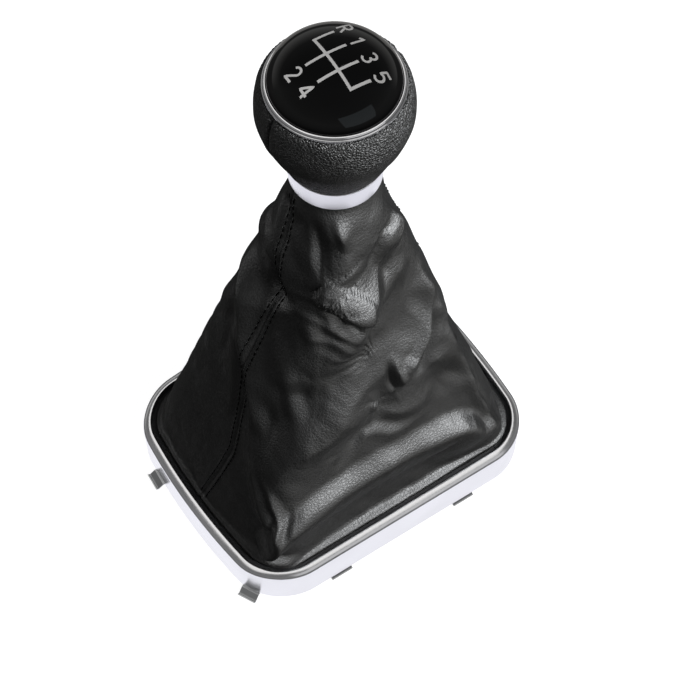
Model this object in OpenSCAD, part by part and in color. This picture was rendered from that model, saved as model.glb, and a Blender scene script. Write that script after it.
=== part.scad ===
// Gear shift knob with its leatherette gaiter and the chromed frame that holds the gaiter's foot.
// Millimetres. +Z is up, +Y is forward in the car, +X is the right-hand side.
// The origin is on the surface that the clips' feet stand on, under the middle of the frame.

/* [Bezel frame] */
// Width of the frame's opening, half way along it
opening_w = 105.2; // [90:0.2:130]
// Length of the frame's opening between the front and rear corners
opening_l = 126.6; // [112:0.2:160]
// Radius of the opening's corners
opening_r = 17.4; // [10:0.2:24]
// How far the front and rear ends bow out beyond the corners
end_bow = 4.2; // [0:0.1:8]
// How much wider the front corners stand than the middle, as a share of the width
front_flare = 0.05; // [0:0.005:0.08]
// Width of the polished rim, seen from above
rim_w = 3.75; // [3.2:0.05:6]
// Height of the frame from the skirt's lower edge to the rim's crest
frame_h = 20.3; // [15:0.1:26]
// How far the rim falls from its inner edge to its outer edge
rim_fall = 1.35; // [0.6:0.05:2]
// Depth of the lip under the rim's inner edge
lip_h = 2.6; // [1.8:0.1:4]
// Wall of the skirt
skirt_wall = 1.6; // [1.2:0.1:2]

/* [Retaining frame] */
// Width of the flange that backs the gaiter's foot
flange_w = 4.1; // [3:0.1:5]
// Thickness of the flange and of the wall below it
retainer_wall = 1.4; // [1:0.1:2]
// Height of the retaining frame
retainer_h = 13.5; // [9:0.1:16]
// Gap between pieces that only meet
seat_gap = 0.3; // [0.2:0.05:0.5]

/* [Spring clips] */
// Thickness of the clips' spring steel
clip_t = 0.5; // [0.4:0.05:0.8]
// Width of the clips on the long sides
side_clip_w = 10; // [6:0.5:14]
// Width of the clips on the front and rear ends
end_clip_w = 8; // [5:0.5:10]
// How far the clips' feet stand below the skirt
clip_drop = 2.4; // [1.8:0.1:4]
// How far the clips' tongues reach out from the skirt
tongue_reach = 3.8; // [3:0.1:5]
// Height of the clips' inner legs above the skirt's lower edge
clip_leg_h = 13; // [11:0.5:14]
// Width of the windows that the clips' barbs catch in
window_w = 2.6; // [2:0.1:4]
// Height of those windows
window_h = 5.5; // [4:0.1:7]
// Height of the windows' lower edges above the skirt's lower edge
window_z = 5.5; // [4:0.1:7]
// Places of the two clips on each long side, forward of the middle
side_clip_y = [-32.5, 29.5];
// Places of the two clips on the rear end, right of the middle
rear_clip_x = [-27.4, 41.6];
// Places of the two clips on the front end, right of the middle
front_clip_x = [-33, 33];

/* [Gaiter] */
// Thickness of the leatherette with its backing
leather_t = 1.0; // [0.8:0.05:1.2]
// Gap between the opening's edge and the leather
recess_w = 2.6; // [2:0.1:4]
// Height of the gaiter from the frame's rim to the collar
gaiter_h = 180.1; // [150:0.1:200]
// Place of the gear lever, right of the frame's middle
lever_x = 1.8; // [-6:0.1:6]
// Place of the gear lever, forward of the frame's middle
lever_y = 3.3; // [-6:0.1:6]
// Radius of the gaiter's neck, outside
neck_r = 14.7; // [13.5:0.05:15]
// Scale of all folds in the leather
fold_scale = 1; // [0.5:0.05:1.1]

/* [Knob] */
// Radius of the collar at its lower edge
collar_r_low = 16.2; // [16:0.1:17]
// Radius of the collar at its upper edge
collar_r_high = 16.9; // [16.4:0.1:17.5]
// Height of the collar
collar_h = 9.3; // [8:0.1:12]
// Largest radius of the grip
grip_r = 26.2; // [24.5:0.1:30]
// Height of the grip from the collar to the polished ring
grip_h = 38; // [32:0.2:46]
// Thickness of the grip's leather cover
cover_t = 1.6; // [1.2:0.1:2]
// Outer radius of the polished ring
ring_r = 23.2; // [22.5:0.1:24]
// Width of the polished ring, seen from above
ring_w = 1.5; // [1.3:0.1:2.2]
// How far the cap's crown rises above the ring
cap_rise = 11; // [6:0.1:13]

/* [Lever fitting] */
// Radius of the bore for the gear lever
bore_r = 6; // [5:0.1:7]
// Length of the bore for the gear lever
bore_l = 58; // [50:0.5:66]
// Wall of the sleeve round the lever
sleeve_wall = 2.4; // [2:0.1:2.6]
// Thickness of the ear clamp's band
band_t = 0.7; // [0.5:0.05:0.8]
// Width of the ear clamp's band
band_w = 7; // [5:0.5:9]
// Width of the slits that let the sleeve close on the lever
slit_w = 1.5; // [1:0.1:2]
// Length of those slits
slit_l = 14; // [10:0.5:18]

/* [Hidden] */

// Facets of round pieces
$fn = 96;
// Steps round each corner of the frame, and along each of its sides
corner_steps = 10;
side_steps = 8;
// Small overlap that lets a cut pass right through
cut = 1;

half_w = opening_w / 2;
half_l = opening_l / 2;
skirt_z = clip_drop;
rim_z = skirt_z + frame_h;
skirt_off = rim_w - skirt_wall;
under_rim_z = rim_z - lip_h;
collar_z = rim_z + gaiter_h;
grip_z = collar_z + collar_h;
ring_z = grip_z + grip_h;

// Colours seen in the photograph
chrome = [0.86, 0.86, 0.9];
satin = [0.88, 0.88, 0.93];
black_plastic = [0.09, 0.09, 0.1];
leatherette = [0.14, 0.14, 0.14];
steel = [0.6, 0.62, 0.63];
gloss_black = [0.02, 0.02, 0.025];

// A point of the frame's plan: flared towards the front, with its ends bowed out
function in_plan(x, y) = [
    x * (1 + front_flare * y / half_l),
    y * (1 + end_bow / half_l * (1 - pow(x / half_w, 2)))
];

// Outline of the frame's plan at a distance out from the opening's edge
function outline(off) = let(
    r = opening_r + off,
    cx = half_w - opening_r,
    cy = half_l - opening_r,
    centres = [[cx, cy], [-cx, cy], [-cx, -cy], [cx, -cy]]
) [
    for (side = [0:3])
        for (k = [0:corner_steps + side_steps - 1]) let(
            here = centres[side],
            next = centres[(side + 1) % 4],
            turn = 90 * (side + min(1, k / corner_steps)),
            along = max(0, k - corner_steps) / side_steps,
            c = here + (next - here) * along
        ) in_plan(c[0] + r * cos(turn), c[1] + r * sin(turn))
];

// Closed ring swept round the frame's plan, from a section of [distance out, height] points
module swept_ring(section) {
    loops = [for (p = section) [for (q = outline(p[0])) [q[0], q[1], p[1]]]];
    n = len(loops[0]);
    m = len(section);
    points = [for (l = loops) each l];
    faces = [
        for (j = [0:m - 1])
            for (i = [0:n - 1]) let(
                a = j * n + i,
                b = j * n + (i + 1) % n,
                c = (j + 1) % m * n + (i + 1) % n,
                d = (j + 1) % m * n + i
            ) each [[a, d, b], [b, d, c]]
    ];
    polyhedron(points, faces, convexity = 4);
}

// A clip's place: the corner or side point that it stands on, and the way that it faces
function side_seat(side, y) = [side * (half_w - opening_r), y, side > 0 ? 0 : 180];
function end_seat(end, x) = let(
    reach = half_w - opening_r,
    past = max(0, abs(x) - reach),
    turn = asin(past / (opening_r + rim_w)),
    x0 = max(-reach, min(reach, x))
) [x0, end * (half_l - opening_r), end * (90 - sign(x) * turn)];

// Moves a clip's own frame, with +X pointing out of the skirt, to its seat on the skirt's outer face
module at_seat(seat) {
    r = opening_r + rim_w;
    out = [cos(seat[2]), sin(seat[2])];
    across = [-out[1], out[0]];
    p = [seat[0], seat[1]] + out * r;
    a = in_plan(p[0] - across[0], p[1] - across[1]);
    b = in_plan(p[0] + across[0], p[1] + across[1]);
    q = in_plan(p[0], p[1]);
    translate([q[0], q[1], skirt_z])
        rotate([0, 0, atan2(b[1] - a[1], b[0] - a[0]) - 90])
            children();
}

// The end clips stay on the frame when it is made narrower
function on_end(x) = max(11 - half_w, min(half_w - 11, x));

rear_left_seat = end_seat(-1, on_end(rear_clip_x[0]));
rear_right_seat = end_seat(-1, on_end(rear_clip_x[1]));
front_left_seat = end_seat(1, on_end(front_clip_x[0]));
front_right_seat = end_seat(1, on_end(front_clip_x[1]));
right_rear_seat = side_seat(1, side_clip_y[0]);
right_front_seat = side_seat(1, side_clip_y[1]);
left_rear_seat = side_seat(-1, side_clip_y[0]);
left_front_seat = side_seat(-1, side_clip_y[1]);
end_seats = [rear_left_seat, rear_right_seat, front_left_seat, front_right_seat];
side_seats = [right_rear_seat, right_front_seat, left_rear_seat, left_front_seat];

// Chromed bezel: a rounded rim with a lip inside and a deep skirt outside, with a window for each clip
module bezel_frame() {
    section = [
        [rim_w, skirt_z],
        [rim_w, rim_z - rim_fall - 0.5],
        [rim_w - 0.25, rim_z - rim_fall + 0.15],
        [rim_w * 0.72, rim_z - rim_fall * 0.42],
        [rim_w * 0.4, rim_z - rim_fall * 0.07],
        [rim_w * 0.15, rim_z],
        [0, rim_z - 0.5],
        [0, under_rim_z],
        [skirt_off, under_rim_z],
        [skirt_off, skirt_z]
    ];
    color(chrome)
        difference() {
            swept_ring(section);
            for (seat = concat(end_seats, side_seats))
                at_seat(seat)
                    translate([-skirt_wall - cut, -window_w / 2, window_z])
                        cube([skirt_wall + 2 * cut, window_w, window_h]);
        }
}

// Black inner frame: a wall inside the skirt and a flange under the rim that backs the gaiter's foot
module retaining_frame() {
    out = skirt_off - seat_gap;
    top = under_rim_z - seat_gap;
    low = top - retainer_h;
    inner = out - flange_w;
    section = [
        [out, low],
        [out, top],
        [inner, top],
        [inner, top - retainer_wall],
        [out - retainer_wall, top - retainer_wall],
        [out - retainer_wall, low]
    ];
    pocket = retainer_wall + 2 * cut;
    color(black_plastic)
        difference() {
            swept_ring(section);
            for (seat = end_seats)
                at_seat(seat)
                    clip_pocket(end_clip_w, pocket);
            for (seat = side_seats)
                at_seat(seat)
                    clip_pocket(side_clip_w, pocket);
        }
}

// Notch in the retaining frame's wall that leaves room for a clip's inner leg
module clip_pocket(w, depth) {
    translate([-skirt_wall - depth, -w / 2 - 1, -cut])
        cube([depth, w + 2, clip_leg_h + 1.5 + cut]);
}

// Outline of a strip of even thickness along a path, for extruding
function strip(path, t) = let(
    n = len(path),
    ways = [
        for (i = [0:n - 1]) let(
            a = path[max(0, i - 1)],
            b = path[min(n - 1, i + 1)],
            d = b - a
        ) [-d[1], d[0]] / norm(d)
    ]
) concat(
    [for (i = [0:n - 1]) path[i] + ways[i] * t / 2],
    [for (i = [n - 1:-1:0]) path[i] - ways[i] * t / 2]
);

// How far a flat clip of a given width stands back from a curved skirt
function stand_back(w) = let(r = opening_r + skirt_off) r - sqrt(r * r - w * w / 4);

// Spring clip: a leg inside the skirt with a barb in its window, bent under the edge into a curled tongue
module clip(w, back = 0) {
    inner_x = -skirt_wall - seat_gap - back - clip_t / 2;
    under_z = -seat_gap - clip_t / 2;
    foot_z = -clip_drop + clip_t / 2;
    bend = 0.7;
    curl = 0.9;
    path = concat(
        [[inner_x, clip_leg_h], [inner_x, under_z + bend]],
        [for (a = [200:20:270]) [inner_x + bend + bend * cos(a), under_z + bend + bend * sin(a)]],
        [[0.4, under_z], [tongue_reach - curl - 0.6, foot_z + 0.25]],
        [for (a = [260:20:360]) [tongue_reach - curl + curl * cos(a), foot_z + curl + curl * sin(a)]]
    );
    barb_low = window_z + 0.6;
    barb_w = window_w - 0.6;
    color(steel)
        union() {
            rotate([90, 0, 0])
                translate([0, 0, -w / 2])
                    linear_extrude(w)
                        polygon(strip(path, clip_t));
            rotate([90, 0, 0])
                translate([0, 0, -barb_w / 2])
                    linear_extrude(barb_w)
                        polygon([
                            [inner_x, barb_low],
                            [-0.4, barb_low + 0.4],
                            [-0.4, barb_low + 1.2],
                            [inner_x, barb_low + 4]
                        ]);
        }
}

// The other end clips lie partly on a corner's curve
corner_back = stand_back(end_clip_w) / 2;

module clip_rear_left() at_seat(rear_left_seat) clip(end_clip_w, corner_back);
module clip_rear_right() at_seat(rear_right_seat) clip(end_clip_w, stand_back(end_clip_w));
module clip_front_left() at_seat(front_left_seat) clip(end_clip_w, corner_back);
module clip_front_right() at_seat(front_right_seat) clip(end_clip_w, corner_back);
module clip_right_rear() at_seat(right_rear_seat) clip(side_clip_w);
module clip_right_front() at_seat(right_front_seat) clip(side_clip_w);
module clip_left_rear() at_seat(left_rear_seat) clip(side_clip_w);
module clip_left_front() at_seat(left_front_seat) clip(side_clip_w);

// The gaiter's lie: its hem hangs inside the retaining frame, and its neck reaches into the collar
hem_z = under_rim_z - 10;
rise_z = rim_z - 3;
neck_z = collar_z - 2.5;
gaiter_top_z = collar_z + 2.6;
panel_columns = 34;
panel_rows = 29;

// Places of the rear and front seams, in degrees round the lever, by share of the gaiter's height
rear_seam = [[0, -89], [0.24, -81], [0.52, -86], [0.77, -79], [0.89, -92], [1, -104]];
front_seam = [[0, 90], [0.35, 84], [0.7, 96], [1, 88]];

// Folds: sharpness of the crest, reach to the left and to the right of its line, then the line itself
// as [degrees round the lever, share of the height, lift]; a hollow has a negative lift
folds = [    [1.6, 9, 10, [[-137, 0.92, 0.6], [-118, 0.93, 0.9], [-109, 0.9, 1.5], [-101, 0.86, 2.2],
        [-89, 0.83, 2.6], [-80, 0.77, 1.2]]],    [2, 10, 8, [[-133, 0.8, -0.2], [-125, 0.76, -0.8], [-109, 0.73, -1.4], [-92, 0.72, -1.8],
        [-80, 0.74, -1.6]]],
    [2, 5.1, 4.8, [[-106, 0.95, -1.5], [-94, 0.88, -0.8], [-89, 0.8, -1.9], [-85, 0.74, -3.1],
        [-70, 0.74, -0.9]]],    [2, 13, 13, [[-125, 0.66, 1.6], [-106, 0.66, 2.6], [-95, 0.57, 2.4], [-86, 0.45, 1.4]]],    [1.4, 6.6, 23.8, [[41, 0.91, 2.6], [45, 0.89, 4.8], [40, 0.87, 4.4], [14, 0.83, 1.8],
        [-4, 0.77, 4.5], [-10, 0.76, 5.7], [-13, 0.67, 4.6]]],
    [2, 11.8, 18.9, [[57, 0.88, -3.6], [35, 0.84, 0.5], [11, 0.81, -1.4]]],
    [1.7, 14.5, 6.9, [[-59, 0.82, 0.2], [-42, 0.84, 3.2], [-38, 0.8, 6.8], [-27, 0.78, 6.6],
        [-17, 0.75, 6.6], [-5, 0.73, 5]]],
    [2, 6, 8.7, [[-76, 0.94, -0.8], [-52, 0.92, -0.3], [-44, 0.88, 0], [-56, 0.85, -0.5]]],
    [1.6, 13, 9.3, [[-43, 0.99, 3.2], [-32, 0.97, 3.5], [-27, 0.92, 2.7], [-20, 0.86, 2.5]]],
    [1.6, 6.5, 7.2, [[-3, 0.55, -0], [-7, 0.57, 0.3], [-18, 0.64, -0.1], [-33, 0.71, 1.2]]],
    [1.5, 24.4, 15.3, [[32, 0.57, 1.2], [24, 0.56, 2.3], [7, 0.53, 4.2], [-8, 0.51, 4],
        [-24, 0.48, 5.9], [-32, 0.42, 8.2], [-50, 0.36, 5.4], [-55, 0.25, 5.1], [-53, 0.19, 6.5]]],
    [2, 9.5, 9.4, [[8, 0.39, 0.2], [-5, 0.38, -3.4], [-16, 0.37, -0.8], [-28, 0.34, -2.5]]],
    [1.4, 7.8, 10, [[46, 0.65, 2.7], [36, 0.6, 1.9], [24, 0.52, 2.9], [15, 0.49, 6.1], [9, 0.44, 5.5]]],
    [1.8, 5.6, 3.9, [[16, 0.49, -2.4], [9, 0.44, -2.4], [0, 0.41, -1.5]]],
    [1.3, 5.6, 9, [[35, 0.77, -0], [26, 0.68, 0.8], [30, 0.59, 1.1], [31, 0.54, 1.8]]],
    [2, 18.6, 11.5, [[57, 0.48, -3.2], [57, 0.4, -2.6], [47, 0.39, 0.2]]],
    [1.3, 8.8, 5.5, [[35, 0.43, 1.8], [41, 0.35, -1.2], [47, 0.29, -0.2]]],    [1.5, 7.4, 9.6, [[43, 0.48, 1.6], [46, 0.32, 1.6], [47, 0.19, 1.4], [46, 0.09, 1.2]]],
    [1.7, 9.9, 19.2, [[-52, 0.06, 3.4], [-50, 0.1, 5.9], [-45, 0.17, 6.3], [-27, 0.19, 5.6],
        [-5, 0.2, 5], [14, 0.19, 5.4], [33, 0.17, 8.4], [38, 0.11, 7.9], [46, 0.08, 4]]],
    [1.3, 3.5, 7.9, [[-53, 0.2, 1.8], [-49, 0.16, 2.5], [-50, 0.11, 5.2], [-54, 0.06, 5.6],
        [-47, 0.03, 2.9]]],
    [1.3, 4.6, 11.2, [[-80, 0.48, 0.6], [-67, 0.3, 3.4], [-55, 0.18, 1.6]]],
    [1.8, 9.3, 9.9, [[-102, 0.33, -0.3], [-100, 0.45, 0.6], [-98, 0.57, 1.1]]],
    [1.8, 10.8, 12.2, [[-64, 0.3, 0.5], [-60, 0.4, -0.9], [-53, 0.51, -4.4]]],
    [1.8, 12.2, 10.1, [[-46, 0.57, -0.8], [-35, 0.6, 1.8], [-25, 0.63, 1.5]]],
    [1.8, 7.1, 8.1, [[22, 0.6, -0.2], [24, 0.69, -0.3], [27, 0.76, 1.4]]],
    [1.8, 13.1, 10.6, [[7, 0.28, 1.1], [19, 0.31, 1.7], [35, 0.33, -1.4]]],
    [1.8, 8.8, 7.6, [[-39, 0.45, 1.1], [-30, 0.5, 0.1], [-23, 0.55, 0.9]]],
    [1.8, 7.9, 7.6, [[47, 0.57, 1.3], [56, 0.61, -1], [59, 0.69, -1.1]]],
    [1.8, 8.7, 7.2, [[-26, 0.89, 0.3], [-20, 0.9, 0.1], [-14, 0.94, -1]]],    [1.6, 14, 10, [[70, 0.62, 0.8], [95, 0.54, 3], [120, 0.42, 4.5], [135, 0.28, 4]]],    [1.6, 9, 9, [[62, 0.8, 0.3], [85, 0.74, 1.2], [112, 0.7, 3.5], [140, 0.66, 2]]],
    [2, 9, 8, [[75, 0.48, -2], [98, 0.4, -4], [118, 0.28, -3]]],    [1.6, 8, 14, [[238, 0.58, 0.6], [214, 0.5, 1.8], [190, 0.42, 4.2], [165, 0.33, 4]]],
    [1.6, 10, 8, [[225, 0.83, 1.5], [200, 0.78, 3.5], [175, 0.74, 4], [150, 0.7, 2]]],
    [2, 8, 8, [[215, 0.42, -2], [195, 0.34, -3.5], [172, 0.26, -2.5]]],    [1.7, 18, 11, [[138, 0.08, 3], [160, 0.13, 5], [185, 0.15, 4.5], [210, 0.13, 1.8],
        [228, 0.08, 0.4]]],    [1.7, 16, 10, [[62, 0.07, 0.5], [75, 0.11, 1], [95, 0.12, 3.5], [118, 0.08, 3]]]
];

// Where a stretch of a crest passes a piece of leather, laid out flat: distance, side and lift there
function to_stretch(a, b) = let(
    d = [b[0] - a[0], b[1] - a[1]],
    t = max(0, min(1, -(a[0] * d[0] + a[1] * d[1]) / max(0.001, d * d))),
    p = [a[0] + d[0] * t, a[1] + d[1] * t]
) [norm(p), a[0] * d[1] - a[1] * d[0], a[2] + (b[2] - a[2]) * t];

function nearest(passes) = let(
    least = min([for (p = passes) p[0]])
) [for (p = passes) if (p[0] == least) p][0];

function turned(a) = a > 180 ? a - 360 : a < -180 ? a + 360 : a;

// Lift of the leather over its plain cone, from all folds
function lift(turn, share, r) = let(
    parts = [
        for (f = folds) let(
            line = [
                for (p = f[3])
                    [turned(p[0] - turn) * r * PI / 180, (p[1] - share) * gaiter_h, p[2]]
            ],
            near = nearest([for (i = [0:len(line) - 2]) to_stretch(line[i], line[i + 1])]),
            d = near[0] / (near[1] > 0 ? f[1] : f[2])
        ) d < 1 ? near[2] * pow(1 - pow(d, f[0]), 2) : 0
    ]
) fold_scale * parts * [for (p = parts) 1];

// The leather's foot by height over the hem's fold: a lip just inside the frame, then a tuck
foot_tuck = [
    [0, 0], [1.3, 1], [2.1, 1.2], [2.9, 0.8], [3.7, -0.3], [4.9, -2], [6.8, -3.2], [9.3, -3.6],
    [13.3, -2.6], [18.3, -1], [24.3, 0]
];

// Distance from the frame's middle to the gaiter's foot in a given direction
function foot_reach(turn, inset) = let(
    c = abs(cos(turn)),
    s = abs(sin(turn)),
    b = half_w - inset,
    a = half_l - inset,
    r = opening_r - inset,
    d = (b - r) * c + (a - r) * s,
    e = d * d - pow(b - r, 2) - pow(a - r, 2) + r * r,
    on_side = b * s <= (a - r) * c,
    on_end = a * c <= (b - r) * s
) on_side ? b / c : on_end ? a / s : d + sqrt(max(0, e));

// A point of the leather, at a height, a direction round the lever and a depth into its thickness
function leather(turn, z, depth) = let(
    share = (z - rise_z) / (neck_z - rise_z),
    t = max(0, min(1, share)),
    reach = foot_reach(turn, recess_w),
    foot = in_plan(reach * cos(turn), reach * sin(turn)),
    neck = [lever_x + neck_r * cos(turn), lever_y + neck_r * sin(turn)],
    plain = foot * (1 - t) + neck * t,
    middle = [lever_x, lever_y] * t,
    r = norm(plain - middle),
    fade = min(1, t / 0.03, (1 - t) / 0.06),
    raw = lookup(max(0, z - rise_z), foot_tuck),
    rolled = 0.3 + 0.7 * max(0, min(1, (100 - abs(turn - 20)) / 25)),
    tuck = raw < 0 ? raw * rolled : raw,
    way = (plain - middle) / r
) concat(plain + way * (lift(turn, t, r) * max(0, fade) + tuck - depth), z);

function smooth_lookup(x, table) = lookup(max(0, min(1, x)), table);

// Heights of the leather's rows: the hem, the lip and the tuck, then up to the neck
foot_top_z = rise_z + 13.3;
row_z = concat(
    [hem_z, (hem_z + rise_z) / 2],
    [for (h = [0, 1.3, 2.1, 2.9, 4.2, 6.2, 9.3, 13.3]) rise_z + h],
    [for (i = [1:panel_rows]) foot_top_z + (neck_z - foot_top_z) * i / panel_rows],
    [collar_z, gaiter_top_z]
);

// One panel of the gaiter, from one seam to the other, with 0.3 mm left open along each seam
module panel(from_front) {
    rows = len(row_z);
    cols = panel_columns + 1;
    function seam_turn(share, front) = smooth_lookup(share, front ? front_seam : rear_seam);
    function at(i, j, depth) = let(
        z = row_z[j],
        share = (z - rise_z) / (neck_z - rise_z),
        a = from_front ? seam_turn(share, true) : seam_turn(share, false),
        b = from_front ? seam_turn(share, false) + 360 : seam_turn(share, true),
        r = neck_r + (half_w - neck_r) * (1 - max(0, min(1, share))),
        open = seat_gap / 2 / r * 180 / PI
    ) leather(a + open + (b - a - 2 * open) * i / panel_columns, z, depth);
    outer = [for (j = [0:rows - 1]) for (i = [0:cols - 1]) at(i, j, 0)];
    inner = [for (j = [0:rows - 1]) for (i = [0:cols - 1]) at(i, j, leather_t)];
    n = len(outer);
    function id(i, j, side) = side * n + j * cols + i;
    faces = concat(
        [
            for (side = [0:1])
                for (j = [0:rows - 2])
                    for (i = [0:cols - 2]) let(
                        a = id(i, j, side),
                        b = id(i + 1, j, side),
                        c = id(i + 1, j + 1, side),
                        d = id(i, j + 1, side)
                    ) each (side == 0 ? [[a, c, b], [a, d, c]] : [[a, b, c], [a, c, d]])
        ],
        [
            for (i = [0:cols - 2])
                for (j = [0, rows - 1]) let(
                    a = id(i, j, 0),
                    b = id(i + 1, j, 0),
                    c = id(i + 1, j, 1),
                    d = id(i, j, 1)
                ) each (j == 0 ? [[a, b, c], [a, c, d]] : [[a, c, b], [a, d, c]])
        ],
        [
            for (j = [0:rows - 2])
                for (i = [0, cols - 1]) let(
                    a = id(i, j, 0),
                    b = id(i, j + 1, 0),
                    c = id(i, j + 1, 1),
                    d = id(i, j, 1)
                ) each (i == 0 ? [[a, c, b], [a, d, c]] : [[a, b, c], [a, c, d]])
        ]
    );
    color(leatherette)
        polyhedron(concat(outer, inner), faces, convexity = 10);
}

module gaiter_right_panel() panel(false);
module gaiter_left_panel() panel(true);

// Everything on the lever is turned about the lever's own line
module on_lever() translate([lever_x, lever_y, 0]) children();

sleeve_r = bore_r + sleeve_wall;
core_neck_r = 13.2;
core_neck_z = collar_z + 0.45 * collar_h;
collar_floor = 1.8;
socket_top_z = grip_z + 0.632 * grip_h;
sleeve_low_z = socket_top_z - bore_l;
neck_inner_r = neck_r - leather_t;

// Plastic ring that presses the gaiter's neck outwards into the collar
module neck_ring() {
    r_out = neck_inner_r - seat_gap;
    r_in = sleeve_r + 0.1;
    low = collar_z - 6;
    top = core_neck_z - 0.1;
    color(black_plastic)
        on_lever()
            rotate_extrude()
                polygon([
                    [r_in, low],
                    [r_out - 1.2, low],
                    [r_out, low + 1.2],
                    [r_out, top - 3],
                    [r_out - 0.8, top - 2.4],
                    [r_out - 0.8, top - 1.4],
                    [r_out, top - 0.8],
                    [r_out, top],
                    [r_in, top]
                ]);
}

// Sleeve that takes the gear lever, slit at its foot so that the ear clamp can close it
module lever_sleeve() {
    color(black_plastic)
        on_lever()
            difference() {
                translate([0, 0, sleeve_low_z])
                    cylinder(r = sleeve_r, h = bore_l);
                translate([0, 0, sleeve_low_z - cut])
                    cylinder(r = bore_r, h = bore_l + 2 * cut);
                for (turn = [0, 90])
                    rotate([0, 0, turn])
                        translate([-sleeve_r - cut, -slit_w / 2, sleeve_low_z - cut])
                            cube([2 * (sleeve_r + cut), slit_w, slit_l + cut]);
            }
}

// Steel ear clamp: a band with one pinched ear
module ear_clamp() {
    r_in = sleeve_r + 0.05;
    r_out = r_in + band_t;
    ear_w = 4.4;
    ear_h = 3.2;
    z = sleeve_low_z + 3;
    color(steel)
        on_lever()
            translate([0, 0, z])
                linear_extrude(band_w)
                    difference() {
                        union() {
                            circle(r = r_out);
                            translate([-ear_w / 2, 0])
                                square([ear_w, r_out + ear_h]);
                        }
                        circle(r = r_in);
                        translate([-ear_w / 2 + band_t, 0])
                            square([ear_w - 2 * band_t, r_out + ear_h - band_t]);
                    }
}

// Silver collar between the gaiter and the grip
module collar() {
    wall = 1.2;
    floor_z = grip_z - collar_floor;
    color(satin)
        on_lever()
            rotate_extrude()
                polygon([
                    [collar_r_low - 0.3, collar_z],
                    [collar_r_low, collar_z + 0.3],
                    [collar_r_high, grip_z - 0.3],
                    [collar_r_high - 0.3, grip_z],
                    [core_neck_r + 0.1, grip_z],
                    [core_neck_r + 0.1, floor_z],
                    [collar_r_high - wall - 0.6, floor_z],
                    [collar_r_low - wall, collar_z]
                ]);
}

// Outer profile of the grip by share of its height, from the collar up to the polished ring
grip_low_r = collar_r_high - 0.3;
grip_high_r = ring_r + 0.5;
grip_profile = [
    [0, grip_low_r],
    [0.05, grip_low_r + (grip_r - grip_low_r) * 0.115],
    [0.17, grip_low_r + (grip_r - grip_low_r) * 0.313],
    [0.34, grip_low_r + (grip_r - grip_low_r) * 0.594],
    [0.5, grip_low_r + (grip_r - grip_low_r) * 0.844],
    [0.61, grip_low_r + (grip_r - grip_low_r) * 0.958],
    [0.7, grip_r],
    [0.8, grip_high_r + (grip_r - grip_high_r) * 0.94],
    [0.9, grip_high_r + (grip_r - grip_high_r) * 0.68],
    [0.96, grip_high_r + (grip_r - grip_high_r) * 0.4],
    [1, grip_high_r]
];

function grip_points(inset) = [
    for (p = grip_profile)
        [p[1] - inset, grip_z + seat_gap + p[0] * (grip_h - seat_gap)]
];

// Half of the grip's leather cover, sewn to the other half at the rear and at the front
module grip_half(turn) {
    gap_turn = seat_gap / 2 / grip_r * 180 / PI;
    shape = concat(
        grip_points(0),
        [for (i = [len(grip_profile) - 1:-1:0]) grip_points(cover_t)[i]]
    );
    color(leatherette)
        on_lever()
            rotate([0, 0, turn + gap_turn])
                rotate_extrude(angle = 180 - 2 * gap_turn)
                    polygon(shape);
}

module grip_right() grip_half(-90);
module grip_left() grip_half(90);

carrier_z = ring_z - 5;
carrier_r = ring_r - 2.6;

// Hard core of the knob, with the neck that carries the collar, the sleeve's socket and the cap's seat
module knob_core() {
    skin = grip_points(cover_t + 0.1);
    top = ring_z;
    color(black_plastic)
        on_lever()
            rotate_extrude()
                polygon(concat(
                    [[sleeve_r + 0.05, core_neck_z], [core_neck_r, core_neck_z], [core_neck_r, grip_z + 0.1]],
                    [[skin[0][0], grip_z + 0.1]],
                    [for (i = [1:len(skin) - 2]) skin[i]],
                    [[skin[len(skin) - 1][0] - 0.1, top], [carrier_r + 0.1, top], [carrier_r + 0.1, carrier_z]],
                    [[0, carrier_z], [0, socket_top_z + 0.1], [sleeve_r + 0.05, socket_top_z + 0.1]]
                ));
}

// Polished ring round the cap: a low outer bead and a higher inner one
ring_low_z = ring_z + 0.1;
ring_h = 1.9;
ring_inner_r = ring_r - ring_w;

module chrome_ring() {
    color(chrome)
        on_lever()
            rotate_extrude()
                polygon([
                    [ring_inner_r, ring_low_z],
                    [ring_r - 0.3, ring_low_z],
                    [ring_r, ring_low_z + 0.25],
                    [ring_r, ring_low_z + 0.55],
                    [ring_r - 0.12, ring_low_z + 0.85],
                    [ring_r - 0.42, ring_low_z + 1],
                    [ring_r - 0.52, ring_low_z + 1.4],
                    [ring_r - 0.78, ring_low_z + 1.72],
                    [ring_r - 1.1, ring_low_z + ring_h],
                    [ring_inner_r, ring_low_z + ring_h - 0.1]
                ]);
}

// Black disc in the top of the core that carries the ring and the cap
module cap_carrier() {
    r = carrier_r;
    top = ring_z + 0.2;
    color(black_plastic)
        on_lever()
            rotate_extrude()
                polygon([
                    [0, carrier_z + 0.1],
                    [r, carrier_z + 0.1],
                    [r, top],
                    [r - 1.6, top],
                    [r - 1.6, top - 2.4],
                    [0, top - 2.4]
                ]);
}

// Glossy black cap: a full dome over the ring, with a short snap rim underneath
module cap() {
    r = ring_inner_r - 0.08;
    edge_z = ring_low_z + ring_h - 0.3;
    under_z = ring_z + 0.3;
    snap_r = carrier_r - 1.7;
    crown = [
        for (i = [0:16]) let(a = 90 * i / 16)
            [i < 16 ? r * cos(a) : 0, edge_z + cap_rise * sin(a)]
    ];
    color(gloss_black)
        on_lever()
            rotate_extrude()
                polygon(concat(
                    [[0, under_z], [snap_r - 1.2, under_z], [snap_r - 1.2, under_z - 2]],
                    [[snap_r, under_z - 2], [snap_r, under_z], [r, under_z]],
                    crown
                ));
}

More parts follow.
